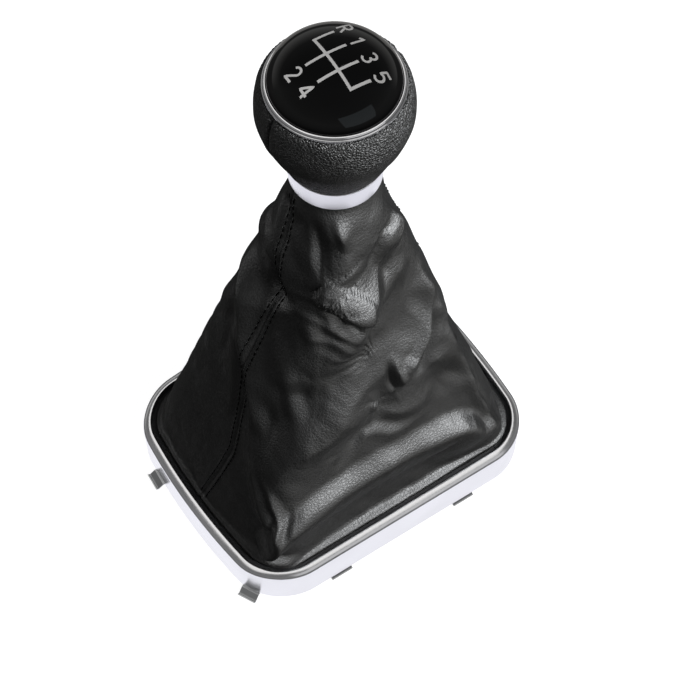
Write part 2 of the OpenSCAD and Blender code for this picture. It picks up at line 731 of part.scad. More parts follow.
bezel_frame();
retaining_frame();
clip_rear_left();
clip_rear_right();
clip_right_rear();
clip_right_front();
clip_front_right();
clip_front_left();
clip_left_front();
clip_left_rear();
gaiter_left_panel();
gaiter_right_panel();
neck_ring();
lever_sleeve();
ear_clamp();
collar();
knob_core();
grip_left();
grip_right();
chrome_ring();
cap_carrier();
cap();
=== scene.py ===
import bmesh
import bpy
import math
import numpy as np
from mathutils import Matrix, Vector


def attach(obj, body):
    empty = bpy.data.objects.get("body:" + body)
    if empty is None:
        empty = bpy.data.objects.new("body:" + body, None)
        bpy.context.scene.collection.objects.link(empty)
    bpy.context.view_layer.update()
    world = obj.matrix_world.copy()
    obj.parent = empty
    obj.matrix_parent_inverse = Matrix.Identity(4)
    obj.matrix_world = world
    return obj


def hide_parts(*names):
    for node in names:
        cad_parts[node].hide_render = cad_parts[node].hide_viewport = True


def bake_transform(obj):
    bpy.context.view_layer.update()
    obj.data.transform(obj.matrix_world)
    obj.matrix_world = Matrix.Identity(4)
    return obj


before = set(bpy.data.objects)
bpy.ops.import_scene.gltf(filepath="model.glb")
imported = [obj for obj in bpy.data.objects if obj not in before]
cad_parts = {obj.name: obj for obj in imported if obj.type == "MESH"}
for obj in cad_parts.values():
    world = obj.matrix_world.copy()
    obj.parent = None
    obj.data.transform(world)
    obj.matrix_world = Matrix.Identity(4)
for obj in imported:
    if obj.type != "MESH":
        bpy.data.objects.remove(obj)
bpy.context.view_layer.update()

MM = 0.001
scene = bpy.context.scene

# Camera, studio and lamps
# The camera was fitted to the photograph: its place, and the ways right, up and back from it
cam = bpy.data.cameras.new("camera")
cam.lens, cam.sensor_width, cam.clip_start, cam.clip_end = 92.571, 36, 0.01, 20
cam_obj = bpy.data.objects.new("camera", cam)
scene.collection.objects.link(cam_obj)
cam_at = (0.28465, -0.19572, 0.70323)
cam_right = (0.58388, 0.81183, 0.00267)
cam_up = (-0.71131, 0.50999, 0.48368)
cam_back = (0.3913, -0.28431, 0.87524)
cam_obj.matrix_world = Matrix(
    [[cam_right[i], cam_up[i], cam_back[i], cam_at[i]] for i in range(3)] + [[0, 0, 0, 1]])
scene.camera = cam_obj
scene.view_settings.view_transform = "Standard"


def grey(v):
    """A neutral colour."""
    return (v, v, v)


def nodes_of(tree):
    """Clears a tree and gives back a function that adds a node to it and links or sets its inputs."""
    tree.nodes.clear()

    def add(kind, inputs=None, **props):
        n = tree.nodes.new(kind)
        for k, v in props.items():
            setattr(n, k, v)
        for k, v in (inputs or {}).items():
            if hasattr(v, "is_output"):
                tree.links.new(v, n.inputs[k])
            else:
                n.inputs[k].default_value = v
        return n

    return add


def ramp(add, value, stops):
    """A colour ramp over a value; stops are (place, colour), in order."""
    r = add("ShaderNodeValToRGB", {"Fac": value})
    e = r.color_ramp.elements
    e[0].position, e[0].color = stops[0][0], (*stops[0][1], 1)
    e[1].position, e[1].color = stops[-1][0], (*stops[-1][1], 1)
    for place, colour in stops[1:-1]:
        e.new(place).color = (*colour, 1)
    return r.outputs["Color"]


# The studio: dim all round, with a pale strip at the horizon beyond the object
world = bpy.data.worlds.new("studio")
scene.world = world
world.use_nodes = True
add = nodes_of(world.node_tree)
way = add("ShaderNodeTexCoord")
part = add("ShaderNodeSeparateXYZ", {0: way.outputs["Generated"]})
height = add("ShaderNodeMapRange", {"Value": part.outputs["Z"], "From Min": -1.0, "From Max": 1.0})
beyond = add("ShaderNodeVectorMath",
    {0: way.outputs["Generated"], 1: (-0.8, 0.57, 0.2)}, operation="DOT_PRODUCT")
share = add("ShaderNodeMapRange",
    {"Value": beyond.outputs["Value"], "From Min": 0.2, "From Max": 0.6}, interpolation_type="SMOOTHSTEP")
# brightness by height: 0 is straight down, 0.5 the horizon and 1 straight up
near_sky = ramp(add, height.outputs[0], [
    (0.0, grey(0.02)), (0.25, grey(0.04)), (0.42, grey(0.13)), (0.5, grey(0.16)),
    (0.65, grey(0.2)), (0.8, grey(0.16)), (1.0, grey(0.12))])
far_sky = ramp(add, height.outputs[0], [
    (0.0, grey(0.05)), (0.36, grey(0.07)), (0.48, grey(0.1)), (0.51, (0.5, 0.5, 0.49)),
    (0.58, (0.42, 0.42, 0.41)), (0.7, grey(0.12)), (0.82, grey(0.1)), (1.0, grey(0.1))])
sky = add("ShaderNodeMix", {0: share.outputs[0], 6: near_sky, 7: far_sky}, data_type="RGBA")
bg = add("ShaderNodeBackground", {"Color": sky.outputs[2], "Strength": 1.0})
add("ShaderNodeOutputWorld", {"Surface": bg.outputs[0]})


# the point all lamps face
AIM = (0, 0, 0.12)


def light(name, towards, distance, size, power, colour=(1, 1, 1)):
    """An oblong lamp that stands in a direction from the aim and faces it; metres and watts."""
    lamp = bpy.data.lights.new(name, "AREA")
    lamp.shape, lamp.size, lamp.size_y = "RECTANGLE", size[0], size[1]
    lamp.energy, lamp.color = power, colour
    o = bpy.data.objects.new(name, lamp)
    scene.collection.objects.link(o)
    d = Vector(towards).normalized()
    o.location = Vector(AIM) + d * distance
    o.rotation_euler = d.to_track_quat("Z", "Y").to_euler()
    return o


def seen_by(lamps, name, leave_out=False):
    """Lets the lamps light only the pieces put into the group that comes back, or all but those."""
    group = bpy.data.collections.new(name)
    for lamp in lamps:
        lamp.light_linking.receiver_collection = group

    def put(*pieces):
        for o in pieces:
            group.objects.link(o)
            if leave_out:
                group.collection_objects[-1].light_linking.link_state = "EXCLUDE"

    return put


# key and glow light the leather from the right, and sweep is the white ground's sheen on it
key = light("key", (0.93, 0.1, 0.36), 1.3, (2.4, 0.8), 17, (0.98, 0.99, 1.0))
glow = light("glow", (0.62, 0.5, 0.52), 1.3, (1.5, 0.85), 82, (0.96, 0.98, 1.0))
sweep = light("sweep", (0.8, 0.3, -0.2), 1.5, (2.6, 1.6), 13, (1.0, 0.985, 0.95))
fill = light("fill", (0.35, -0.85, 0.4), 1.7, (1.0, 0.9), 1.7)
rear_left = light("rear_left", (-0.65, -0.75, 0.08), 1.5, (0.6, 1.0), 3.5)
# under, above and edge light the plated pieces, and inked the printed pattern
under = light("under", (0, 0, -1), 1.4, (3.4, 3.4), 35.5, (1, 1, 1.06))
above = light("above", (-0.12, 0.06, 1), 1.6, (2.6, 2.6), 18.0, (1, 0.985, 0.96))
edge = light("edge", (0.75, 0.1, 0.42), 1.5, (1.4, 0.8), 1.5)
# a window with soft borders and a bright far wall, both mirrored in the cap
panes = [
    light("pane_%d" % i, (0.64, 0.02, 0.36), 1.5, (1.3 - 0.3 * i, 1.1 - 0.26 * i), 1.7, (0.8, 0.93, 1.0))
    for i in range(3)]
panes.append(light("beyond", (-0.71, 0.5, -0.5), 1.5, (1.8, 1.3), 3.0, (1.0, 0.98, 0.95)))
inked = light("inked", (0.1, -0.3, 1), 1.6, (1.0, 1.0), 9)
for lamp in [sweep, rear_left, under, above, edge, inked] + panes:
    lamp.visible_camera = False
metal = seen_by([under, above, edge], "metal")
gloss = seen_by(panes, "gloss")
ink = seen_by([inked], "ink")
skins = seen_by([sweep], "skins")
no_key = seen_by([key, glow, fill, rear_left], "all_but_metal_and_gloss", leave_out=True)

# Materials
def material(name, colour, rough, metallic=0.0, **sockets):
    """A Principled material, with its colour and roughness left open to nodes."""
    m = bpy.data.materials.new(name)
    m.use_nodes = True
    add = nodes_of(m.node_tree)
    values = {"Base Color": (*colour, 1), "Roughness": rough, "Metallic": metallic}
    values.update({k.replace("_", " "): v for k, v in sockets.items()})
    shader = add("ShaderNodeBsdfPrincipled", values)
    add("ShaderNodeOutputMaterial", {"Surface": shader.outputs[0]})
    place = add("ShaderNodeTexCoord")
    return m, add, shader, place.outputs["Object"]


def link(m, a, b):
    """Joins an output to an input in a material's tree."""
    m.node_tree.links.new(a, b)


# How far the pebbles' places are bent, as a share of their size, and how much duller a crease is
WARP, CREASE_DULL = 0.0025 / 0.0015, 0.12


def leather(name, colour, cell, rough, depth, bumps):
    """Leatherette: rounded pebbles of a size (cell, metres) with fine creases between them.

    Depth and bumps are the grain's depth in metres and its strength. Colour and gloss change softly over
    the surface, and the creases are darker and duller than the pebbles.
    """
    m, add, shader, at = material(name, colour, rough, Specular_IOR_Level=0.5, IOR=1.45)
    warp = add("ShaderNodeTexNoise", {"Vector": at, "Scale": 0.35 / cell, "Detail": 2.0})
    bent = add("ShaderNodeMix", {0: WARP * cell, 4: at, 5: warp.outputs["Color"]}, data_type="VECTOR")
    pebble = add("ShaderNodeTexVoronoi",
        {"Vector": bent.outputs[1], "Scale": 1 / cell, "Randomness": 0.9, "Smoothness": 0.35},
        feature="SMOOTH_F1")
    crease = add("ShaderNodeTexVoronoi",
        {"Vector": bent.outputs[1], "Scale": 1 / cell, "Randomness": 0.9}, feature="DISTANCE_TO_EDGE")
    fine = add("ShaderNodeTexNoise",
        {"Vector": at, "Scale": 4.5 / cell, "Detail": 3.0, "Roughness": 0.6})
    broad = add("ShaderNodeTexNoise", {"Vector": at, "Scale": 28.0, "Detail": 3.0})
    edge = add("ShaderNodeMapRange",
        {"Value": crease.outputs["Distance"], "From Min": 0.0, "From Max": 0.22})
    dome = add("ShaderNodeMath", {0: pebble.outputs["Distance"], 1: -0.9}, operation="MULTIPLY")
    both = add("ShaderNodeMath", {0: dome.outputs[0], 1: edge.outputs[0]}, operation="ADD")
    tiny = add("ShaderNodeMath", {0: fine.outputs["Fac"], 1: 0.55, 2: both.outputs[0]},
        operation="MULTIPLY_ADD")
    bump = add("ShaderNodeBump", {"Strength": bumps, "Distance": depth, "Height": tiny.outputs[0]})
    link(m, bump.outputs[0], shader.inputs["Normal"])
    dark = tuple(0.45 * c for c in colour)
    tone = ramp(add, edge.outputs[0], [(0, dark), (0.7, colour)])
    shade = ramp(add, broad.outputs["Fac"], [(0.3, grey(0.75)), (0.7, grey(1.15))])
    mixed = add("ShaderNodeMix", {0: 1.0, 6: tone, 7: shade}, data_type="RGBA", blend_type="MULTIPLY")
    link(m, mixed.outputs[2], shader.inputs["Base Color"])
    span = add("ShaderNodeMapRange", {"Value": broad.outputs["Fac"], "From Min": 0.3, "From Max": 0.7,
        "To Min": rough - 0.05, "To Max": rough + 0.06})
    dull = add("ShaderNodeMapRange", {"Value": edge.outputs[0], "From Min": 0.0, "From Max": 1.0,
        "To Min": CREASE_DULL, "To Max": 0.0})
    total = add("ShaderNodeMath", {0: span.outputs[0], 1: dull.outputs[0]}, operation="ADD")
    link(m, total.outputs[0], shader.inputs["Roughness"])
    return m


def moulded(name, colour, rough, grain, depth, **sockets):
    """Moulded or plated surface: a very fine texture, with soft changes of colour and gloss."""
    m, add, shader, at = material(name, colour, rough, **sockets)
    fine = add("ShaderNodeTexNoise", {"Vector": at, "Scale": grain, "Detail": 2.0})
    broad = add("ShaderNodeTexNoise", {"Vector": at, "Scale": 40.0, "Detail": 2.0})
    bump = add("ShaderNodeBump", {"Strength": 0.3, "Distance": depth, "Height": fine.outputs["Fac"]})
    link(m, bump.outputs[0], shader.inputs["Normal"])
    span = add("ShaderNodeMapRange", {"Value": broad.outputs["Fac"], "From Min": 0.3, "From Max": 0.7,
        "To Min": rough * 0.85, "To Max": rough * 1.2})
    link(m, span.outputs[0], shader.inputs["Roughness"])
    tone = ramp(add, broad.outputs["Fac"],
        [(0.3, tuple(0.93 * c for c in colour)), (0.7, tuple(min(1, 1.04 * c) for c in colour))])
    link(m, tone, shader.inputs["Base Color"])
    return m


# name, colour, size of the pebbles, roughness, depth and strength of the grain
M_GAITER = leather("gaiter_leatherette", (0.0013, 0.0013, 0.0012), 0.0012, 0.4, 0.0002, 0.24)
M_GRIP = leather("grip_leather", (0.002, 0.002, 0.0019), 0.001, 0.34, 0.0004, 0.6)
M_BACK = leather("gaiter_backing", (0.05, 0.05, 0.05), 0.0009, 0.8, 0.0001, 0.4)
# name, colour, roughness, grain and its depth
M_THREAD = moulded("thread", (0.03, 0.03, 0.031), 0.6, grain=2500.0, depth=0.00006)
M_RIM = moulded("satin_chrome", (0.82, 0.82, 0.84), 0.22, grain=1500.0, depth=0.000008, metallic=1.0)
M_RING = moulded("bright_chrome", (0.86, 0.86, 0.88), 0.07, grain=1500.0, depth=0.000006, metallic=1.0)
M_COLLAR = moulded("satin_silver", (0.82, 0.82, 0.86), 0.28, grain=2200.0, depth=0.00001, metallic=0.9)
M_CAP = moulded("gloss_black", (0.002, 0.002, 0.0022), 0.04, grain=300.0, depth=0.000002,
    Specular_IOR_Level=0.4)
M_PRINT = moulded("silver_print", (0.8, 0.79, 0.78), 0.4, grain=3000.0, depth=0.00001)
M_BLACK = moulded("moulded_black", (0.014, 0.014, 0.015), 0.55, grain=2000.0, depth=0.00006)
M_STEEL = moulded("spring_steel", (0.50, 0.51, 0.52), 0.38, grain=800.0, depth=0.00003, metallic=1.0)
# the ground: nearly white by its own light, so that it shows no shadow, as in the photograph
M_FLOOR, add, shader, at = material("floor", (0.93, 0.93, 0.94), 0.7)
speck = add("ShaderNodeTexNoise", {"Vector": at, "Scale": 3.0, "Detail": 2.0})
link(M_FLOOR, ramp(add, speck.outputs["Fac"], [(0.2, grey(0.1)), (0.8, grey(0.11))]),
    shader.inputs["Base Color"])
shader.inputs["Emission Color"].default_value = (1, 1, 1, 1)
shader.inputs["Emission Strength"].default_value = 0.97


# Mesh helpers
def make(name, verts, faces, mats, body=None, replaces=(), indices=None, sharp=None):
    """A smooth-shaded mesh from points in millimetres, with its body, replaced nodes and slot."""
    mesh = bpy.data.meshes.new(name)
    mesh.from_pydata([tuple(v) for v in np.asarray(verts, float) * MM], [],
        [tuple(int(i) for i in f) for f in faces])
    mesh.validate()
    for m in mats:
        mesh.materials.append(m)
    mesh.polygons.foreach_set("use_smooth", [True] * len(mesh.polygons))
    if indices is not None:
        mesh.polygons.foreach_set("material_index", [int(i) for i in indices])
    if sharp:
        mesh.set_sharp_from_angle(angle=math.radians(sharp))
    mesh.update()
    o = bpy.data.objects.new(name, mesh)
    scene.collection.objects.link(o)
    if body:
        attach(o, body)
    if replaces:
        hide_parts(*replaces)
    return o


def grid_faces(rows, cols, closed=False, first=0, flip=False):
    """Faces of a grid of points; closed joins the last column to the first."""
    out = []
    for j in range(rows - 1):
        for i in range(cols if closed else cols - 1):
            a, b = first + j * cols + i, first + j * cols + (i + 1) % cols
            f = (a, b, b + cols, a + cols)
            out.append(f[::-1] if flip else f)
    return out


def ring_faces(rows, cols, skip=()):
    """Faces of a closed loop of closed rows; skip names rows with nothing between them and the next."""
    out = []
    for j in range(rows):
        k = (j + 1) % rows
        if j not in skip:
            out += [(j * cols + i, j * cols + (i + 1) % cols, k * cols + (i + 1) % cols, k * cols + i)
                    for i in range(cols)]
    return out


def rounded(points, reach, steps):
    """Rounds a closed profile's corners: each is cut back by the reach and curved in so many steps."""
    out = []
    n = len(points)
    for i in range(n):
        p, a, b = (np.array(points[k % n], float) for k in (i, i - 1, i + 1))
        len_a, len_b = np.linalg.norm(a - p), np.linalg.norm(b - p)
        cut_a, cut_b = min(reach, 0.45 * len_a), min(reach, 0.45 * len_b)
        start, end = p + (a - p) / max(1e-9, len_a) * cut_a, p + (b - p) / max(1e-9, len_b) * cut_b
        for k in range(steps + 1):
            t = k / steps
            out.append((1 - t) ** 2 * start + 2 * t * (1 - t) * p + t * t * end)
    return np.array(out)


# the lever's line, in millimetres
LEVER_X, LEVER_Y = 1.8, 3.3


def lathe(name, profile, steps, mats, body, replaces, sharp=None):
    """Turned piece about the lever's line; the profile is a closed loop of radius and height."""
    a = np.linspace(0, 2 * math.pi, steps, endpoint=False)
    p = np.array(profile, float)
    v = [(LEVER_X + r * math.cos(t), LEVER_Y + r * math.sin(t), z) for r, z in p for t in a]
    n = len(p)
    on_axis = [j for j in range(n) if p[j][0] < 1e-6 and p[(j + 1) % n][0] < 1e-6]
    f = ring_faces(n, steps, skip=on_axis)
    o = make(name, v, f, mats, body, replaces, sharp=sharp)
    bm = bmesh.new()
    bm.from_mesh(o.data)
    bmesh.ops.remove_doubles(bm, verts=bm.verts, dist=1e-7)
    bmesh.ops.recalc_face_normals(bm, faces=bm.faces)
    bm.to_mesh(o.data)
    bm.free()
    if sharp:
        o.data.set_sharp_from_angle(angle=math.radians(sharp))
    return o


# The model's sizes, in millimetres
HALF_W, HALF_L, CORNER_R, BOW, FLARE = 52.6, 63.3, 17.4, 4.2, 0.05
RIM_W, SKIRT_Z, RIM_Z, FALL, LIP, WALL = 3.75, 2.4, 22.7, 1.35, 2.6, 1.6
RISE_Z, NECK_Z, TOP_Z, HEM_Z = 19.7, 200.3, 205.4, 10.1
NECK_R, RECESS, LEATHER_T = 14.7, 2.6, 1.0
COLLAR_Z, GRIP_Z, RING_Z = 202.8, 212.1, 250.1


def in_plan(x, y):
    """The frame's plan from a rounded rectangle: wider at the front, and its ends bowed out."""
    return x * (1 + FLARE * y / HALF_L), y * (1 + BOW / HALF_L * (1 - (x / HALF_W) ** 2))


def outline(off):
    """The frame's outline, grown by off."""
    corner, side = 22, 22
    cx, cy, r = HALF_W - CORNER_R, HALF_L - CORNER_R, CORNER_R + off
    centres = [(cx, cy), (-cx, cy), (-cx, -cy), (cx, -cy)]
    out = []
    for s in range(4):
        here, nxt = np.array(centres[s]), np.array(centres[(s + 1) % 4])
        for k in range(corner + side):
            t = math.radians(90 * (s + min(1, k / corner)))
            c = here + (nxt - here) * max(0, k - corner) / side
            out.append(in_plan(c[0] + r * math.cos(t), c[1] + r * math.sin(t)))
    return np.array(out)


# Chromed bezel
def seat(name, side, along):
    """A clip's place on the skirt's outer face: the point, the way out of it and the way along it."""
    r = CORNER_R + RIM_W
    if name == "side":
        x, y, turn = side * (HALF_W - CORNER_R), along, 0 if side > 0 else 180
    else:
        reach = HALF_W - CORNER_R
        past = math.degrees(math.asin(max(0, abs(along) - reach) / r))
        x, y = max(-reach, min(reach, along)), side * (HALF_L - CORNER_R)
        turn = side * (90 - math.copysign(past, along))
    o = np.array((math.cos(math.radians(turn)), math.sin(math.radians(turn))))
    c = np.array((-o[1], o[0]))
    p = np.array((x, y)) + o * r
    a, b, q = (np.array(in_plan(*v)) for v in (p - c, p + c, p))
    way = (b - a) / np.linalg.norm(b - a)
    return q, np.array((way[1], -way[0])), way


# the clips' places: end or side of the frame, which one, and how far along it
SEATS = [("end", -1, -27.4), ("end", -1, 41.6), ("end", 1, -33), ("end", 1, 33),
    ("side", 1, -32.5), ("side", 1, 29.5), ("side", -1, -32.5), ("side", -1, 29.5)]


def bezel():
    """The rounded rim and its skirt: one section led round, with windows cut through the skirt."""
    off = RIM_W - WALL
    under = RIM_Z - LIP
    low, high = SKIRT_Z, RIM_Z - FALL
    # the rim's outer edge as (share of its width, height from high) and its crown as (share, depth)
    rim = ((1, -1.9), (1, -1.35), (0.995, -0.95), (0.975, -0.6), (0.94, -0.28), (0.9, -0.08),
        (0.86, 0.06))
    crest = ((0.78, 0.98), (0.6, 0.58), (0.42, 0.26), (0.27, 0.06), (0.17, 0.0), (0.09, 0.08),
        (0.03, 0.27), (0, 0.55))
    top = [(RIM_W * u, high + h) for u, h in rim] + [(RIM_W * u, RIM_Z - d) for u, d in crest]
    # the whole section as (offset, height): up the skirt's outer face, over the rim and down inside
    section = [(RIM_W - 0.22, low), (RIM_W - 0.06, low + 0.08), (RIM_W, low + 0.28),
        (RIM_W, low + 0.6)] + top
    section += [(0, under + 0.25), (0.06, under + 0.06), (0.25, under), (off - 0.05, under),
        (off, under - 0.05), (off, low + 0.4), (off + 0.1, low + 0.06), (off + 0.3, low)]
    v = [(x, y, z) for o, z in section for x, y in outline(o)]
    f = ring_faces(len(section), len(v) // len(section))
    o = make("bezel", v, f, [M_RIM], "frame", ["bezel_frame"])
    # holes as (place, from, to, lift, height): the clips' windows, a thin slit and a small notch
    holes = [(s, -1.3, 1.3, 5.5, 5.5) for s in SEATS]
    holes += [(("end", -1, 29.7), -0.25, 0.25, 2.2, 11.0), (("end", -1, 44.5), 4.4, 4.9, 2.2, 2.2)]
    box = ((3, 2, 1, 0), (4, 5, 6, 7), (0, 1, 5, 4), (1, 2, 6, 5), (2, 3, 7, 6), (3, 0, 4, 7))
    box_verts, box_faces = [], []
    for s, a, b, z, h in holes:
        q, out, way = seat(*s)
        first = len(box_verts)
        for dz in (z, z + h):
            for d, w in ((-WALL - 1, a), (-WALL - 1, b), (1, b), (1, a)):
                p = q + out * d + way * w
                box_verts.append((p[0], p[1], SKIRT_Z + dz))
        box_faces += [tuple(first + i for i in side) for side in box]
    cut = make("cutter", box_verts, box_faces, [M_RIM])
    cutting = o.modifiers.new("windows", "BOOLEAN")
    cutting.operation, cutting.object, cutting.solver = "DIFFERENCE", cut, "EXACT"
    bpy.context.view_layer.update()
    done = bpy.data.meshes.new_from_object(o.evaluated_get(bpy.context.evaluated_depsgraph_get()))
    o.modifiers.clear()
    o.data = done
    bpy.data.objects.remove(cut, do_unlink=True)
    o.data.set_sharp_from_angle(angle=math.radians(38))
    return o


bezel_obj = bezel()
metal(bezel_obj)
no_key(bezel_obj)

# The right-hand clips
def short_clip(name, node, along):
    """A folded strip: a leg inside the skirt, a bend under its edge and a turned-up end just outside."""
    inner, thick, width, under, ground = -2.15, 0.5, 10.0, -0.55, 0.25 - SKIRT_Z
    bend, curl = 0.7, 0.4
    path = [(inner, 13.0), (inner, 9.0), (inner, 4.0), (inner, under + bend)]
    for a in map(math.radians, (200, 220, 240, 260)):
        path.append((inner + bend + bend * math.cos(a), under + bend + bend * math.sin(a)))
    path += [(-1.0, under - 0.2), (-0.5, ground + curl), (-0.2, ground + 0.08)]
    for a in map(math.radians, (270, 300, 330, 360)):
        path.append((curl * math.cos(a), ground + curl + curl * math.sin(a)))
    p = np.array(path)
    way = np.gradient(p, axis=0)
    way /= np.linalg.norm(way, axis=1, keepdims=True)
    side = np.stack([-way[:, 1], way[:, 0]], 1) * thick / 2
    ring = rounded(np.concatenate([p + side, (p - side)[::-1]]), 0.12, 2)
    q, out, across = seat("side", 1, along)
    v, n = [], len(ring)
    for w in (-width / 2, -width / 2 + 0.1, width / 2 - 0.1, width / 2):
        for d, z in ring:
            a = q + out * d + across * w
            v.append((a[0], a[1], SKIRT_Z + z))
    f = grid_faces(4, n, closed=True)
    f += [tuple(range(n - 1, -1, -1)), tuple(range(3 * n, 4 * n))]
    o = make(name, v, f, [M_STEEL], "frame", [node], sharp=35)
    metal(o)
    no_key(o)


short_clip("clip_strip_rear", "clip_right_rear", -32.5)
short_clip("clip_strip_front", "clip_right_front", 29.5)

# Gaiter
# Each fold: the form of its crest, its reach to the left and to the right of its line, in millimetres,
# and the line as (degrees round the lever, share of the height, lift in millimetres; below 0 a valley).
# They are the model's folds, but the broad ridge on the left is narrower and higher here.
FOLDS = [
    (1.6, 9, 10, [(-137, 0.92, 0.6), (-118, 0.93, 0.9), (-109, 0.9, 1.5), (-101, 0.86, 2.2),
        (-89, 0.83, 2.6), (-80, 0.77, 1.2)]),
    (2, 10, 8, [(-133, 0.8, -0.2), (-125, 0.76, -0.8), (-109, 0.73, -1.4), (-92, 0.72, -1.8),
        (-80, 0.74, -1.6)]),
    (2, 5.1, 4.8, [(-106, 0.95, -1.5), (-94, 0.88, -0.8), (-89, 0.8, -1.9), (-85, 0.74, -3.1),
        (-70, 0.74, -0.9)]),
    (2, 9, 13, [(-122, 0.7, 1.2), (-108, 0.68, 3), (-100, 0.6, 3.6), (-95, 0.5, 3.2),
        (-92, 0.38, 1.6)]),
    (1.4, 6.6, 23.8, [(41, 0.91, 2.6), (45, 0.89, 4.8), (40, 0.87, 4.4), (14, 0.83, 1.8),
        (-4, 0.77, 4.5), (-10, 0.76, 5.7), (-13, 0.67, 4.6)]),
    (2, 11.8, 18.9, [(57, 0.88, -3.6), (35, 0.84, 0.5), (11, 0.81, -1.4)]),
    (1.7, 14.5, 6.9, [(-59, 0.82, 0.2), (-42, 0.84, 3.2), (-38, 0.8, 6.8), (-27, 0.78, 6.6),
        (-17, 0.75, 6.6), (-5, 0.73, 5)]),
    (2, 6, 8.7, [(-76, 0.94, -0.8), (-52, 0.92, -0.3), (-44, 0.88, 0), (-56, 0.85, -0.5)]),
    (1.6, 13, 9.3, [(-43, 0.99, 3.2), (-32, 0.97, 3.5), (-27, 0.92, 2.7), (-20, 0.86, 2.5)]),
    (1.6, 6.5, 7.2, [(-3, 0.55, 0), (-7, 0.57, 0.3), (-18, 0.64, -0.1), (-33, 0.71, 1.2)]),
    (1.5, 24.4, 15.3, [(32, 0.57, 1.2), (24, 0.56, 2.3), (7, 0.53, 4.2), (-8, 0.51, 4),
        (-24, 0.48, 5.9), (-32, 0.42, 8.2), (-50, 0.36, 5.4), (-55, 0.25, 5.1), (-53, 0.19, 6.5)]),
    (2, 9.5, 9.4, [(8, 0.39, 0.2), (-5, 0.38, -3.4), (-16, 0.37, -0.8), (-28, 0.34, -2.5)]),
    (1.4, 7.8, 10, [(46, 0.65, 2.7), (36, 0.6, 1.9), (24, 0.52, 2.9), (15, 0.49, 6.1), (9, 0.44, 5.5)]),
    (1.8, 5.6, 3.9, [(16, 0.49, -2.4), (9, 0.44, -2.4), (0, 0.41, -1.5)]),
    (1.3, 5.6, 9, [(35, 0.77, 0), (26, 0.68, 0.8), (30, 0.59, 1.1), (31, 0.54, 1.8)]),
    (2, 18.6, 11.5, [(57, 0.48, -3.2), (57, 0.4, -2.6), (47, 0.39, 0.2)]),
    (1.3, 8.8, 5.5, [(35, 0.43, 1.8), (41, 0.35, -1.2), (47, 0.29, -0.2)]),
    (1.5, 7.4, 9.6, [(43, 0.48, 1.6), (46, 0.32, 1.6), (47, 0.19, 1.4), (46, 0.09, 1.2)]),
    (1.7, 9.9, 19.2, [(-52, 0.06, 3.4), (-50, 0.1, 5.9), (-45, 0.17, 6.3), (-27, 0.19, 5.6),
        (-5, 0.2, 5), (14, 0.19, 5.4), (33, 0.17, 8.4), (38, 0.11, 7.9), (46, 0.08, 4)]),
    (1.3, 3.5, 7.9, [(-53, 0.2, 1.8), (-49, 0.16, 2.5), (-50, 0.11, 5.2), (-54, 0.06, 5.6),
        (-47, 0.03, 2.9)]),
    (1.3, 4.6, 11.2, [(-80, 0.48, 0.6), (-67, 0.3, 3.4), (-55, 0.18, 1.6)]),
    (1.8, 9.3, 9.9, [(-102, 0.33, -0.3), (-100, 0.45, 0.6), (-98, 0.57, 1.1)]),
    (1.8, 10.8, 12.2, [(-64, 0.3, 0.5), (-60, 0.4, -0.9), (-53, 0.51, -4.4)]),
    (1.8, 12.2, 10.1, [(-46, 0.57, -0.8), (-35, 0.6, 1.8), (-25, 0.63, 1.5)]),
    (1.8, 7.1, 8.1, [(22, 0.6, -0.2), (24, 0.69, -0.3), (27, 0.76, 1.4)]),
    (1.8, 13.1, 10.6, [(7, 0.28, 1.1), (19, 0.31, 1.7), (35, 0.33, -1.4)]),
    (1.8, 8.8, 7.6, [(-39, 0.45, 1.1), (-30, 0.5, 0.1), (-23, 0.55, 0.9)]),
    (1.8, 7.9, 7.6, [(47, 0.57, 1.3), (56, 0.61, -1), (59, 0.69, -1.1)]),
    (1.8, 8.7, 7.2, [(-26, 0.89, 0.3), (-20, 0.9, 0.1), (-14, 0.94, -1)]),
    (1.6, 14, 10, [(70, 0.62, 0.8), (95, 0.54, 3), (120, 0.42, 4.5), (135, 0.28, 4)]),
    (1.6, 9, 9, [(62, 0.8, 0.3), (85, 0.74, 1.2), (112, 0.7, 3.5), (140, 0.66, 2)]),
    (2, 9, 8, [(75, 0.48, -2), (98, 0.4, -4), (118, 0.28, -3)]),
    (1.6, 8, 14, [(238, 0.58, 0.6), (214, 0.5, 1.8), (190, 0.42, 4.2), (165, 0.33, 4)]),
    (1.6, 10, 8, [(225, 0.83, 1.5), (200, 0.78, 3.5), (175, 0.74, 4), (150, 0.7, 2)]),
    (2, 8, 8, [(215, 0.42, -2), (195, 0.34, -3.5), (172, 0.26, -2.5)]),
    (1.7, 18, 11, [(138, 0.08, 3), (160, 0.13, 5), (185, 0.15, 4.5), (210, 0.13, 1.8),
        (228, 0.08, 0.4)]),
    (1.7, 16, 10, [(62, 0.07, 0.5), (75, 0.11, 1), (95, 0.12, 3.5), (118, 0.08, 3)]),
]
